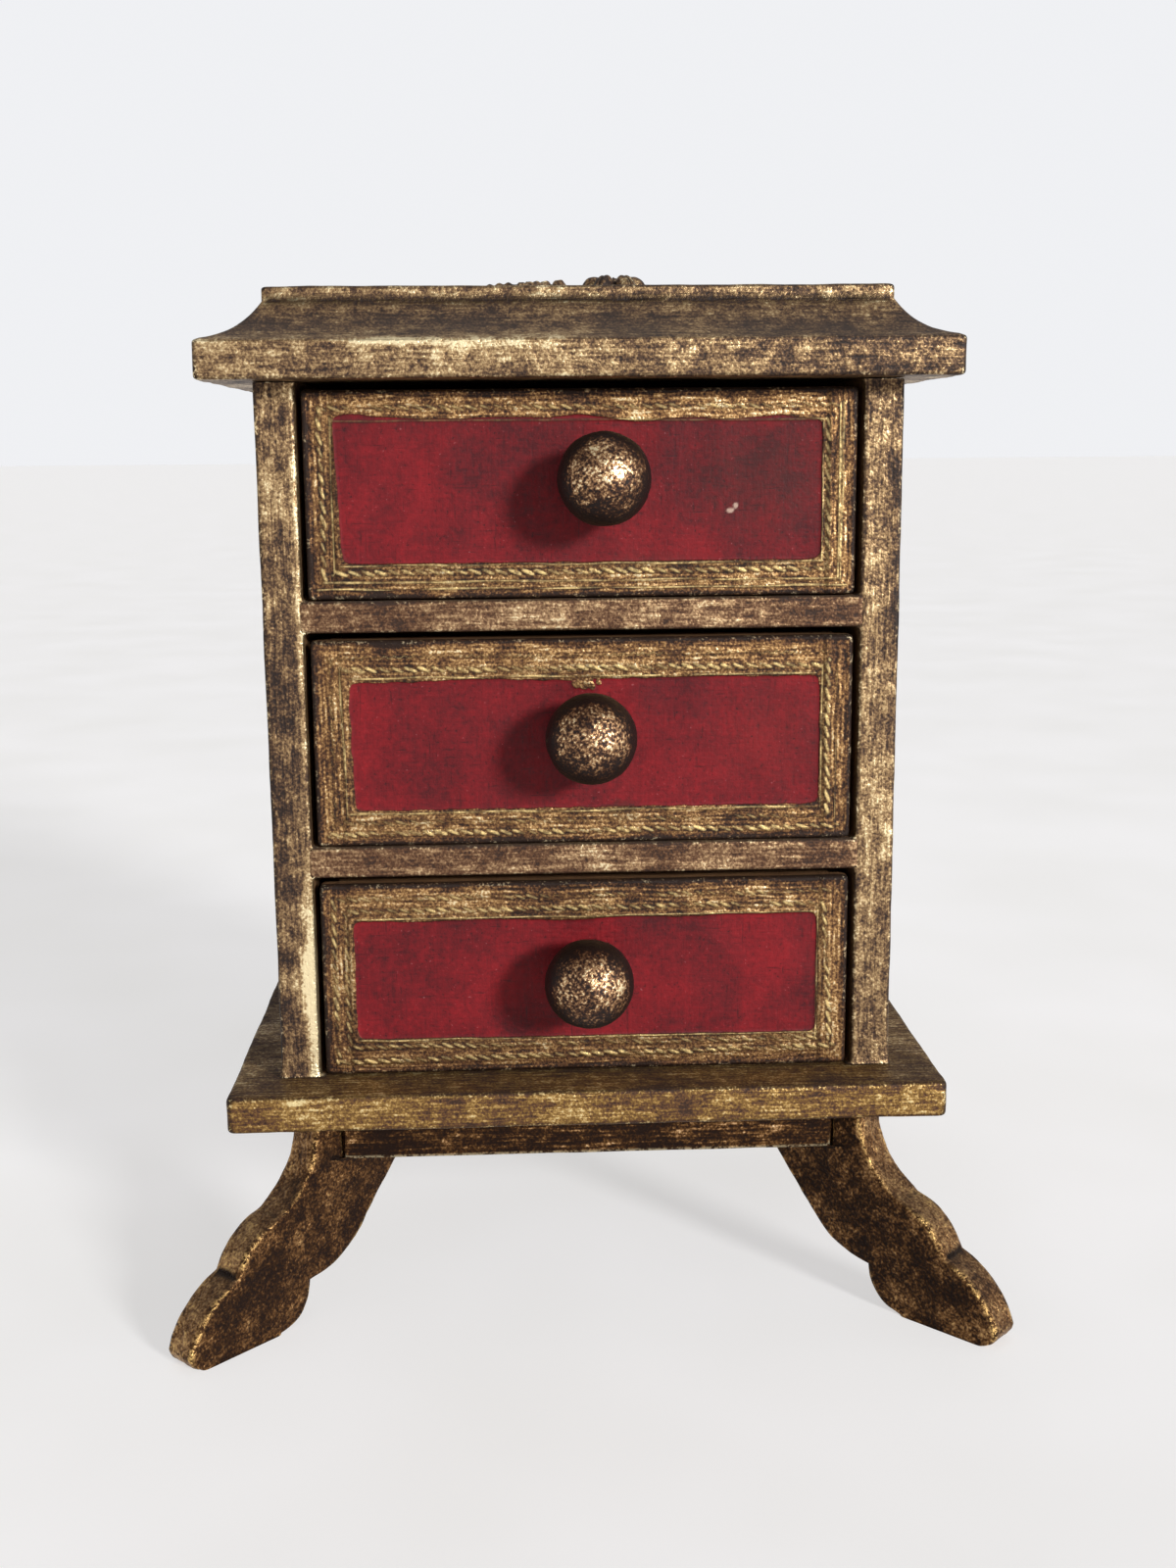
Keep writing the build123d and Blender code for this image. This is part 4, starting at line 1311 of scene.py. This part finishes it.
@dataclass
class Drawer:
    """One drawer: its tooled front and its knob. The box behind is the frame's own nodes, dressed in wood."""

    name: str
    panel_left: tuple[float, float]
    panel_right: tuple[float, float]
    panel_top: tuple[float, float]
    panel_bottom: tuple[float, float]
    rows: list[ToolRow]
    spills: list[Mark] = field(default_factory=list)
    smudges_and_shade: list[Mark] = field(default_factory=list)
    chips: list[Mark] = field(default_factory=list)
    top_wander: float = 0.35
    side_wander: float = 0.12
    corner_sharpness: float = 1.25
    face_gap: float = 0.12
    face_round: float = 0.8
    gilt_depth: float = 1.6
    bare_depth: float = 2.4
    face_depth: float = 4.0
    tongue_half: float = 55.8
    cell: float = 0.3
    tool_height: float = 0.17
    wave_depth: float = 0.07
    panel_sink: float = 0.12
    ruling: float = 1.1
    ruling_tone: float = 0.16
    edge_tone: float = 0.16
    spill_tone: float = 0.1
    ball_end: float = 150.0
    neck_radius: float = 4.5
    knob_foot: tuple[tuple[float, float], ...] = ((0.0, -1.4), (0.0, -0.5), (0.5, 0.1), (0.0, 1.0))
    seed: int = 1
    front_finish: bpy.types.Material | None = None
    knob_finish: bpy.types.Material | None = None

    def panel(self, x: np.ndarray, z: np.ndarray, half_x: float, half_z: float) -> np.ndarray:
        """Distance inside the crimson field, in millimetres, below 0 on the border.

        It is the soft minimum −ln(Σ exp(−k·d)) / k of the distances d from the four wandering sides, where k
        is corner_sharpness.

        Args:
            x: places to the right of the face's middle.
            z: places above it.
            half_x: half the face's width.
            half_z: half its height.
        Returns:
            The distance at each place.
        """
        share_x, share_z = (x + half_x) / (2.0 * half_x), (half_z - z) / (2.0 * half_z)
        places = np.stack([x, z], axis=-1)
        sides = [
            x + half_x - np.interp(share_z, (0, 1), self.panel_left),
            half_x - x - np.interp(share_z, (0, 1), self.panel_right),
            half_z - z - np.interp(share_x, (0, 1), self.panel_top)
            - self.top_wander * ripple(places, 26.0, self.seed + 7),
            z + half_z - np.interp(share_x, (0, 1), self.panel_bottom)]
        sharp = self.corner_sharpness
        soft = -np.log(sum(np.exp(-sharp * np.clip(side, -8.0, 20.0)) for side in sides)) / sharp
        soft = soft + self.side_wander * ripple(places, 6.0, self.seed + 8)
        for spill in self.spills:
            soft = np.minimum(soft, 0.5 - 1.5 * spill.spread(x, z))
        return soft

    def tooling(self, x: np.ndarray, z: np.ndarray, half_x: float, half_z: float) -> np.ndarray:
        """Height of all tooling rows, about 0 to 1, at places given as for panel. Rows meet at the corners."""
        inset = {Edge.LEFT: x + half_x, Edge.RIGHT: half_x - x, Edge.TOP: half_z - z, Edge.BOTTOM: z + half_z}
        height = np.zeros_like(x)
        for number, row in enumerate(self.rows):
            upright = row.edge in (Edge.LEFT, Edge.RIGHT)
            along = half_z - z if upright else x + half_x
            share = along / (2.0 * (half_z if upright else half_x))
            made = row.relief(along, inset[row.edge], share, self.seed * 100 + number * 5)
            ends = np.minimum(along, 2.0 * (half_z if upright else half_x) - along)
            height = np.maximum(height, made * smooth_step(row.start - 1.2, row.start + 0.4, ends))
        return height

    def front(self) -> Shell:
        """The drawer front: a fine grid over the face, rings round its edge, and the tongue behind.

        A ring of the rounding at the angle φ stands radius·sin φ outside the grid and radius·(1 − cos φ) behind
        the face. The tongue that the drawer sides are nailed to stands tongue_half to each side.
        """
        low, high = node_box(f"{self.name}_front")
        mid_x, _, mid_z = (low + high) / 2.0
        half_x, _, half_z = (high - low) / 2.0
        flat_x, flat_z = half_x - self.face_round, half_z - self.face_round
        columns = np.linspace(-flat_x, flat_x, int(2.0 * flat_x / self.cell))
        rows = np.linspace(-flat_z, flat_z, int(2.0 * flat_z / self.cell))
        x, z = np.meshgrid(columns, rows)
        places = np.stack([x, z], axis=-1)
        panel = self.panel(x, z, half_x, half_z)
        tooling = self.tooling(x, z, half_x, half_z)
        wave = ripple(places, 15.0, self.seed)
        rise = self.tool_height * tooling - self.panel_sink * smooth_step(-0.2, 0.5, panel)
        near = np.minimum(flat_x - np.abs(x), flat_z - np.abs(z))
        rise = (rise + self.wave_depth * (wave - 1.0)) * smooth_step(0.0, 0.5, near)
        faded = 0.5 + 0.5 * ripple(places, 12.0, self.seed + 20)
        ruled = np.sin(2.0 * math.pi * panel / self.ruling) * faded * (panel < 0.0)
        tone = self.ruling_tone * ruled - self.edge_tone * smooth_step(1.6, 0.2, near)
        for spill in self.spills:
            tone -= self.spill_tone * spill.spread(x, z)
        face_y = low[1] + self.face_gap
        grid = np.stack([x + mid_x, face_y - rise, z + mid_z], axis=-1)
        face = Shell.from_grid(grid)
        # The darkening mark sums the smudges and the broad patches of painted shade.
        face.marks = {
            "panel": panel.ravel(), "tooling": tooling.ravel(), "tone": tone.ravel(),
            "darkening": sum((m.spread(x, z) for m in self.smudges_and_shade), np.zeros_like(x)).ravel(),
            "chip": sum((m.spread(x, z) for m in self.chips), np.zeros_like(x)).ravel()}
        border = np.concatenate([
            grid[0, :-1], grid[:-1, -1], grid[-1, :0:-1], grid[:0:-1, 0]])[:, [0, 2]] - [mid_x, mid_z]
        outward = np.stack([
            (np.abs(border[:, 0]) > flat_x - 1e-6) * np.sign(border[:, 0]),
            (np.abs(border[:, 1]) > flat_z - 1e-6) * np.sign(border[:, 1])], axis=1)
        outward /= np.linalg.norm(outward, axis=1, keepdims=True)
        angle = np.linspace(0.0, math.pi / 2.0, 6)
        steps = [(self.face_round * math.sin(a), face_y + self.face_round * (1.0 - math.cos(a))) for a in angle]
        between = (self.bare_depth + self.face_depth) / 2.0
        steps += [(self.face_round, low[1] + depth)
                  for depth in (self.gilt_depth, self.bare_depth, between, self.face_depth)]
        rings = [np.column_stack([border[:, 0] + outward[:, 0] * out + mid_x, np.full(len(border), y),
                                  border[:, 1] + outward[:, 1] * out + mid_z]) for out, y in steps]
        for y in (low[1] + self.face_depth, high[1]):
            ring = rings[-1].copy()
            ring[:, 0] = np.clip(ring[:, 0], mid_x - self.tongue_half, mid_x + self.tongue_half)
            ring[:, 1] = y
            rings.append(ring)
        sides = Shell.from_rings(np.stack(rings), (False, True))
        depth = sides.points[:, 1] - low[1]
        far_outside, side_tone = -6.0, -0.3
        sides.marks = {"bare": smooth_step(self.gilt_depth, self.bare_depth, depth),
                       "panel": np.full(len(depth), far_outside), "tone": np.full(len(depth), side_tone)}
        return face.joined(sides)

    def knob(self) -> Shell:
        """The knob: a ball profile on a short neck, turned about the drawer's axis, from the pole to the wall.

        At the angle φ from the pole the ball's radius is R·sin φ at the depth R·(1 − cos φ). The ball is
        painted darker towards the wall and below, as painted shade and a painted reflection of dark
        surroundings.
        """
        low, high = node_box(f"{self.name}_knob")
        mid_x, _, mid_z = (low + high) / 2.0
        radius = (high[0] - low[0]) / 2.0
        face = node_box(f"{self.name}_front")[0][1]
        angle = np.linspace(0.0, math.radians(self.ball_end), 46)
        ball = np.column_stack([radius * np.sin(angle), low[1] + radius * (1.0 - np.cos(angle))])
        foot = np.array([[self.neck_radius + out, face + deep] for out, deep in self.knob_foot])
        profile = np.concatenate([ball, foot])
        turn = np.linspace(0.0, 2.0 * math.pi, 96, endpoint=False)
        out, deep = profile[:, :1], np.broadcast_to(profile[:, 1:], (len(profile), len(turn)))
        rings = np.stack([mid_x + out * np.cos(turn), deep, mid_z + out * np.sin(turn)], axis=-1)
        shell = Shell.from_rings(rings, (False, True))
        # Darker towards the wall and below: painted shade and a painted reflection of dark surroundings.
        behind = smooth_step(0.25 * radius, 0.9 * radius, shell.points[:, 1] - low[1])
        below = smooth_step(0.1 * radius, -0.9 * radius, shell.points[:, 2] - mid_z)
        shell.marks["tone"] = 0.12 - 0.9 * behind - 0.3 * below
        return shell

    def build(self) -> None:
        """Makes the front and the knob."""
        body = self.name
        make_piece(f"{self.name}_tooled_front", self.front(), self.front_finish,
                   Place(body, (f"{self.name}_front",), "painted_front"))
        make_piece(f"{self.name}_gilt_knob", self.knob(), self.knob_finish,
                   Place(body, (f"{self.name}_knob",), "gilded_knob"), Handwork(0.25, 6.0, 60 + self.seed))


# --- The studio -----------------------------------------------------------------------------------


@dataclass(frozen=True)
class PhotoCamera:
    """The camera, placed and turned as the one that took the photograph, which is 1200 by 1600 pixels."""

    focal_pixels: float = 1765.15
    picture_height: float = 1600.0
    sensor_height: float = 36.0
    place: tuple[float, float, float] = (-16.03, -428.66, 193.94)
    yaw: float = 2.529
    pitch: float = 10.938
    roll: float = -0.487

    def build(self) -> None:
        """Makes the camera from its right, up and backward directions."""
        yaw, pitch, roll = (math.radians(angle) for angle in (self.yaw, self.pitch, self.roll))
        forward = Vector((math.sin(yaw) * math.cos(pitch), math.cos(yaw) * math.cos(pitch), -math.sin(pitch)))
        level = Vector((math.cos(yaw), -math.sin(yaw), 0.0))
        upright = level.cross(forward)
        right = level * math.cos(roll) + upright * math.sin(roll)
        up = upright * math.cos(roll) - level * math.sin(roll)
        data = bpy.data.cameras.new("photo_camera")
        data.sensor_fit = "VERTICAL"
        data.sensor_height = self.sensor_height
        data.lens = self.focal_pixels * self.sensor_height / self.picture_height
        data.clip_start, data.clip_end = 0.01, 50.0
        turn = Matrix((right, up, -forward)).transposed().to_4x4()
        place = Matrix.Translation(Vector(self.place) * MM) @ turn
        bpy.context.scene.camera = put_in_scene("photo_camera", data, place)


@dataclass(frozen=True)
class Lamp:
    """A square area lamp that faces a point."""

    name: str
    place: tuple[float, float, float]
    size: float
    power: float
    target: tuple[float, float, float] = (0.0, 0.0, 120.0)

    def build(self) -> None:
        """Makes the lamp."""
        data = bpy.data.lights.new(self.name, "AREA")
        data.size = self.size * MM
        data.energy = self.power
        aim = Vector(self.target) - Vector(self.place)
        turn = aim.to_track_quat("-Z", "Y").to_matrix().to_4x4()
        put_in_scene(self.name, data, Matrix.Translation(Vector(self.place) * MM) @ turn)


@dataclass(frozen=True)
class Window:
    """Even light from one direction, as soft as a window that looks angle degrees wide."""

    name: str
    towards: tuple[float, float, float]
    angle: float
    strength: float

    def build(self) -> None:
        """Makes the lamp."""
        data = bpy.data.lights.new(self.name, "SUN")
        data.angle = math.radians(self.angle)
        data.energy = self.strength
        put_in_scene(self.name, data, Vector(self.towards).to_track_quat("Z", "Y").to_matrix().to_4x4())


@dataclass
class Studio:
    """A plain pale floor and world, soft lamps and the camera."""

    floor_size: float = 60000.0
    floor_colour: str = "#b4b3b3"
    floor_shade: str = "#b0afae"
    floor_mottle: float = 90.0
    sky: str = "#fbfcff"
    floor_glow: float = 1.3
    backdrop: float = 0.9
    dome: float = 0.25
    ambient: float = 0.21
    lamps: tuple[Lamp | Window, ...] = (
        Window("key_window", (0.58, -0.76, 0.3), 11.0, 3.0),
        Lamp("fill_lamp", (-560.0, -700.0, 300.0), 600.0, 0.45),
        Lamp("top_lamp", (60.0, 160.0, 900.0), 500.0, 0.8))

    def clear_rays(self, sheet: NodeSheet) -> bpy.types.Node:
        """1 for a ray from the camera, off gloss or through glass, and 0 for a ray that lights the object."""
        rays = sheet.add("LightPath").outputs
        seen = sheet.add("Math", {0: rays["Is Camera Ray"], 1: rays["Is Glossy Ray"]}, operation="MAXIMUM")
        return sheet.add("Math", {0: seen, 1: rays["Is Transmission Ray"]}, operation="MAXIMUM")

    def build_floor(self) -> None:
        """Makes the floor: a square at height 0 with a faintly mottled matt material."""
        half = self.floor_size / 2.0
        mesh = bpy.data.meshes.new("floor")
        mesh.from_pydata((in_plan(rectangle(-half, -half, half, half), 0.0) * MM).tolist(), [], [[0, 1, 2, 3]])
        sheet = NodeSheet.of_material("pale_studio_floor")
        place = sheet.add("TexCoord").outputs["Object"]
        mottle = sheet.add("TexNoise", {"Vector": place, "Scale": per_mm(self.floor_mottle)})
        colour = sheet.add("ValToRGB", {"Fac": mottle}, stops=[
            (0.3, self.floor_shade), (0.7, self.floor_colour)])
        shader = sheet.add("BsdfPrincipled", {"Base Color": colour, "Roughness": 0.75})
        clear = self.clear_rays(sheet)
        strength = sheet.add("Math", {0: clear, 1: self.floor_glow}, operation="MULTIPLY")
        glow = sheet.add("Emission", {"Color": colour, "Strength": strength})
        both = sheet.add("AddShader", {0: shader, 1: glow})
        sheet.add("OutputMaterial", {"Surface": both})
        mesh.materials.append(sheet.owner)
        floor = put_in_scene("floor", mesh)

    def build_world(self) -> None:
        """Makes the world: pale to the camera and in reflections, and a dimmer even light for the rest."""
        world = bpy.data.worlds.new("studio_world")
        sheet = NodeSheet(world)
        heading = sheet.add("TexCoord").outputs["Generated"]
        height = sheet.add("SeparateXYZ", {"Vector": heading}).outputs["Z"]
        backdrop = sheet.add("MapRange", {"Value": height, "From Min": 0.3, "From Max": 0.7,
                                          "To Min": self.backdrop, "To Max": self.dome})
        clear = self.clear_rays(sheet)
        strength = sheet.add("Mix", {"Factor": clear, "A": self.ambient, "B": backdrop}, data_type="FLOAT")
        background = sheet.add("Background", {"Color": linear_colour(self.sky), "Strength": strength})
        sheet.add("OutputWorld", {"Surface": background})
        bpy.context.scene.world = world

    def build(self) -> None:
        """Makes the studio and sets the plain view."""
        self.build_floor()
        self.build_world()
        for lamp in self.lamps:
            lamp.build()
        PhotoCamera().build()
        bpy.context.scene.view_settings.view_transform = "Standard"


# --- Finishes and assembly ------------------------------------------------------------------------


def front_rows() -> dict[str, list[ToolRow]]:
    """The tooling rows of each drawer front, with their insets from the edges of its face."""
    left, right, top, bottom = Edge.LEFT, Edge.RIGHT, Edge.TOP, Edge.BOTTOM
    rope, line, wave = Stamp.ROPE, Stamp.LINE, Stamp.WAVE
    return {
        "drawer_top": [
            ToolRow(left, rope, 3.8, 3.8), ToolRow(left, line, 5.9, 5.9),
            ToolRow(right, line, 7.5, 7.3), ToolRow(right, rope, 6.4, 6.2), ToolRow(right, line, 3.7, 3.7),
            ToolRow(right, line, 3.1, 3.1), ToolRow(top, rope, 3.8, 3.8, 0.7), ToolRow(top, line, 6.6, 6.8),
            ToolRow(bottom, line, 7.3, 7.3), ToolRow(bottom, rope, 5.7, 5.7), ToolRow(bottom, line, 3.7, 3.6),
            ToolRow(bottom, line, 2.1, 2.1)],
        "drawer_middle": [
            ToolRow(left, line, 6.1, 7.1), ToolRow(left, rope, 4.1, 4.1, 0.5),
            ToolRow(right, line, 6.9, 6.9), ToolRow(right, rope, 5.5, 5.5), ToolRow(right, line, 3.4, 3.4, 0.5),
            ToolRow(top, wave, 3.7, 3.7, 0.6), ToolRow(top, rope, 6.5, 6.5), ToolRow(top, line, 8.3, 8.3),
            ToolRow(bottom, line, 7.3, 7.3), ToolRow(bottom, rope, 5.2, 5.2, 0.55),
            ToolRow(bottom, rope, 2.7, 2.7)],
        "drawer_bottom": [
            ToolRow(left, rope, 2.9, 2.9), ToolRow(left, rope, 5.6, 5.6, 0.7),
            ToolRow(right, line, 7.0, 7.0), ToolRow(right, rope, 5.8, 3.4), ToolRow(top, rope, 3.3, 3.3, 0.6),
            ToolRow(top, rope, 6.2, 6.2, 0.8), ToolRow(top, line, 8.1, 8.1), ToolRow(bottom, line, 8.0, 7.7),
            ToolRow(bottom, rope, 6.4, 6.4, 0.7), ToolRow(bottom, rope, 2.9, 4.4)],
    }


def build_case() -> None:
    """Makes the case, its top, plinth, base, legs and ornament."""
    grey_leaf = {"leaf": "#8f7250", "rubbed": "#c5a77b", "brown": "#5a4230", "toning": "#24160f",
                 "glint": "#ffeabb", "streak_weight": 0.7, "mottle_weight": 0.75}
    stiles = Gilding("gilt_stiles", grain=Grain.ALONG_Z, cover=-0.01, **grey_leaf)
    rails = Gilding("gilt_rails", grain=Grain.ALONG_X, cover=-0.02, streak_weight=0.75, patch_weight=1.0,
                    leaf="#86674b", rubbed="#c09d74")
    band = Gilding("gilt_moulding", grain=Grain.ALONG_X, cover=0.0, dust_and_shade_colour="#453c36", **grey_leaf)
    # The plinth's dark dust colour is painted shade on its top.
    plinth = Gilding("gilt_plinth", grain=Grain.ALONG_X, cover=0.0, leaf="#826233", rubbed="#bd975c",
                     glint="#f3dca3", dust_and_shade_colour="#2d2119")
    # The base board's dark leaf and toning are painted shade under the plinth.
    base = Gilding("gilt_base_board_painted_shade", grain=Grain.ALONG_X, cover=-0.19, toning="#1d0f08", brown="#3a2413",
                   leaf="#6a4a2a", arris="#4a3018", arris_share=0.3, varnish=0.0, specular=0.1)
    legs = Gilding("gilt_legs", cover=-0.13, bump_depth=0.35, patch_size=9.0, mottle_size=2.4,
                   streak_weight=0.6, speck_weight=0.6, toning="#1d0f08", brown="#3a2412", leaf="#6c4b2c", rubbed="#a07c52",
                   glint="#cfa868", arris_share=0.36, dust=0.6, varnish=0.0, specular=0.1)
    relief = Gilding("gilt_gesso_ornament", cover=-0.1, patch_size=3.0, dust=0.5, **grey_leaf)
    CaseCarcass(stile_finish=stiles.material(), rail_finish=rails.material()).build()
    MouldedTop(finish=band.material()).build()
    Ornament(finish=relief.material()).build()
    PlinthAndBase(plinth_finish=plinth.material(), base_finish=base.material()).build()
    SawnLeg(finish=legs.material()).build()


def build_drawers() -> None:
    """Makes the three drawers' fronts and knobs."""
    border = Gilding("tooled_border", grain=Grain.ALONG_X, upright_beyond=53.5, cover=-0.02,
                     patch_weight=0.9, streak_weight=0.8, speck_weight=1.0, toning="#26150b", leaf="#8a6640",
                     rubbed="#c89f6b", dust=0.2)
    front = TooledFront("tooled_gilding_and_crimson", border, CrimsonPaint()).material()
    knob = Gilding("burnished_gilt_knob", cover=-0.1, patch_size=6.0, toning="#180a06", brown="#3d2314",
                   leaf="#76543a", speck_weight=1.2, metal=0.8, varnish=0.25,
                   specular=0.15, dust=0.0).material()
    rows = front_rows()
    drawers = [
        Drawer("drawer_top", (6.1, 8.1), (7.8, 7.4), (5.4, 6.9), (7.7, 7.7), rows["drawer_top"],
               top_wander=0.7, chips=[Mark(32.2, -3.8, 0.8, 0.6), Mark(33.4, -2.8, 0.55, 0.5)],
               # The first smudge, broad on the right, is painted shade.
               smudges_and_shade=[Mark(40.0, 3.0, 20.0, 15.0, 0.45, 0.9), Mark(14.0, -14.5, 12.0, 2.4, 0.3, 0.8)],
               seed=1),
        Drawer("drawer_middle", (7.7, 9.0), (7.3, 7.3), (8.9, 8.9), (8.0, 8.0), rows["drawer_middle"],
               spills=[Mark(0.4, 12.9, 2.8, 1.3)],
               # The second smudge, broad on the right, is painted shade.
               smudges_and_shade=[Mark(8.8, -15.8, 4.2, 2.6, 0.8, 0.7), Mark(42.0, 0.0, 16.0, 15.0, 0.25, 0.9)], seed=2),
        Drawer("drawer_bottom", (7.3, 7.5), (7.2, 7.0), (8.6, 8.4), (8.4, 7.8), rows["drawer_bottom"], seed=3)]
    for drawer in drawers:
        drawer.front_finish, drawer.knob_finish = front, knob
        drawer.build()


def dress_frame_nodes() -> None:
    """Gives the frame's own pieces, inside and behind, their wood and wire."""
    side_wood = PlanedWood("planed_poplar_lengthwise", "#8a6543", "#b99468", Grain.ALONG_Y).material()
    cross_wood = PlanedWood("planed_poplar_crosswise", "#87623f", "#b58f63", Grain.ALONG_X).material()
    stained = PlanedWood("stained_back_board", "#3a2417", "#5a3c28", Grain.ALONG_Z).material()
    beech = PlanedWood("turned_beech_dowel", "#a67c52", "#c9a274", Grain.ALONG_Z).material()
    wire = DrawnSteel("drawn_steel_brad").material()
    finishes = {"_side_left": side_wood, "_side_right": side_wood, "_back": cross_wood, "_bottom": cross_wood,
                "_dowels": beech, "_brads": wire, "back_panel": stained}
    for name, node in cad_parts.items():
        finish = next((material for ending, material in finishes.items() if name.endswith(ending)), None)
        if finish and not name.startswith("case_side"):
            node.data.materials.clear()
            node.data.materials.append(finish)
            log.info("%s: %s", name, finish.name)


def main() -> None:
    """Builds the studio, the case and the drawers in order."""
    logging.basicConfig(level=logging.INFO, format="%(message)s")
    Studio().build()
    build_case()
    build_drawers()
    dress_frame_nodes()


if __name__ == "__main__":
    main()
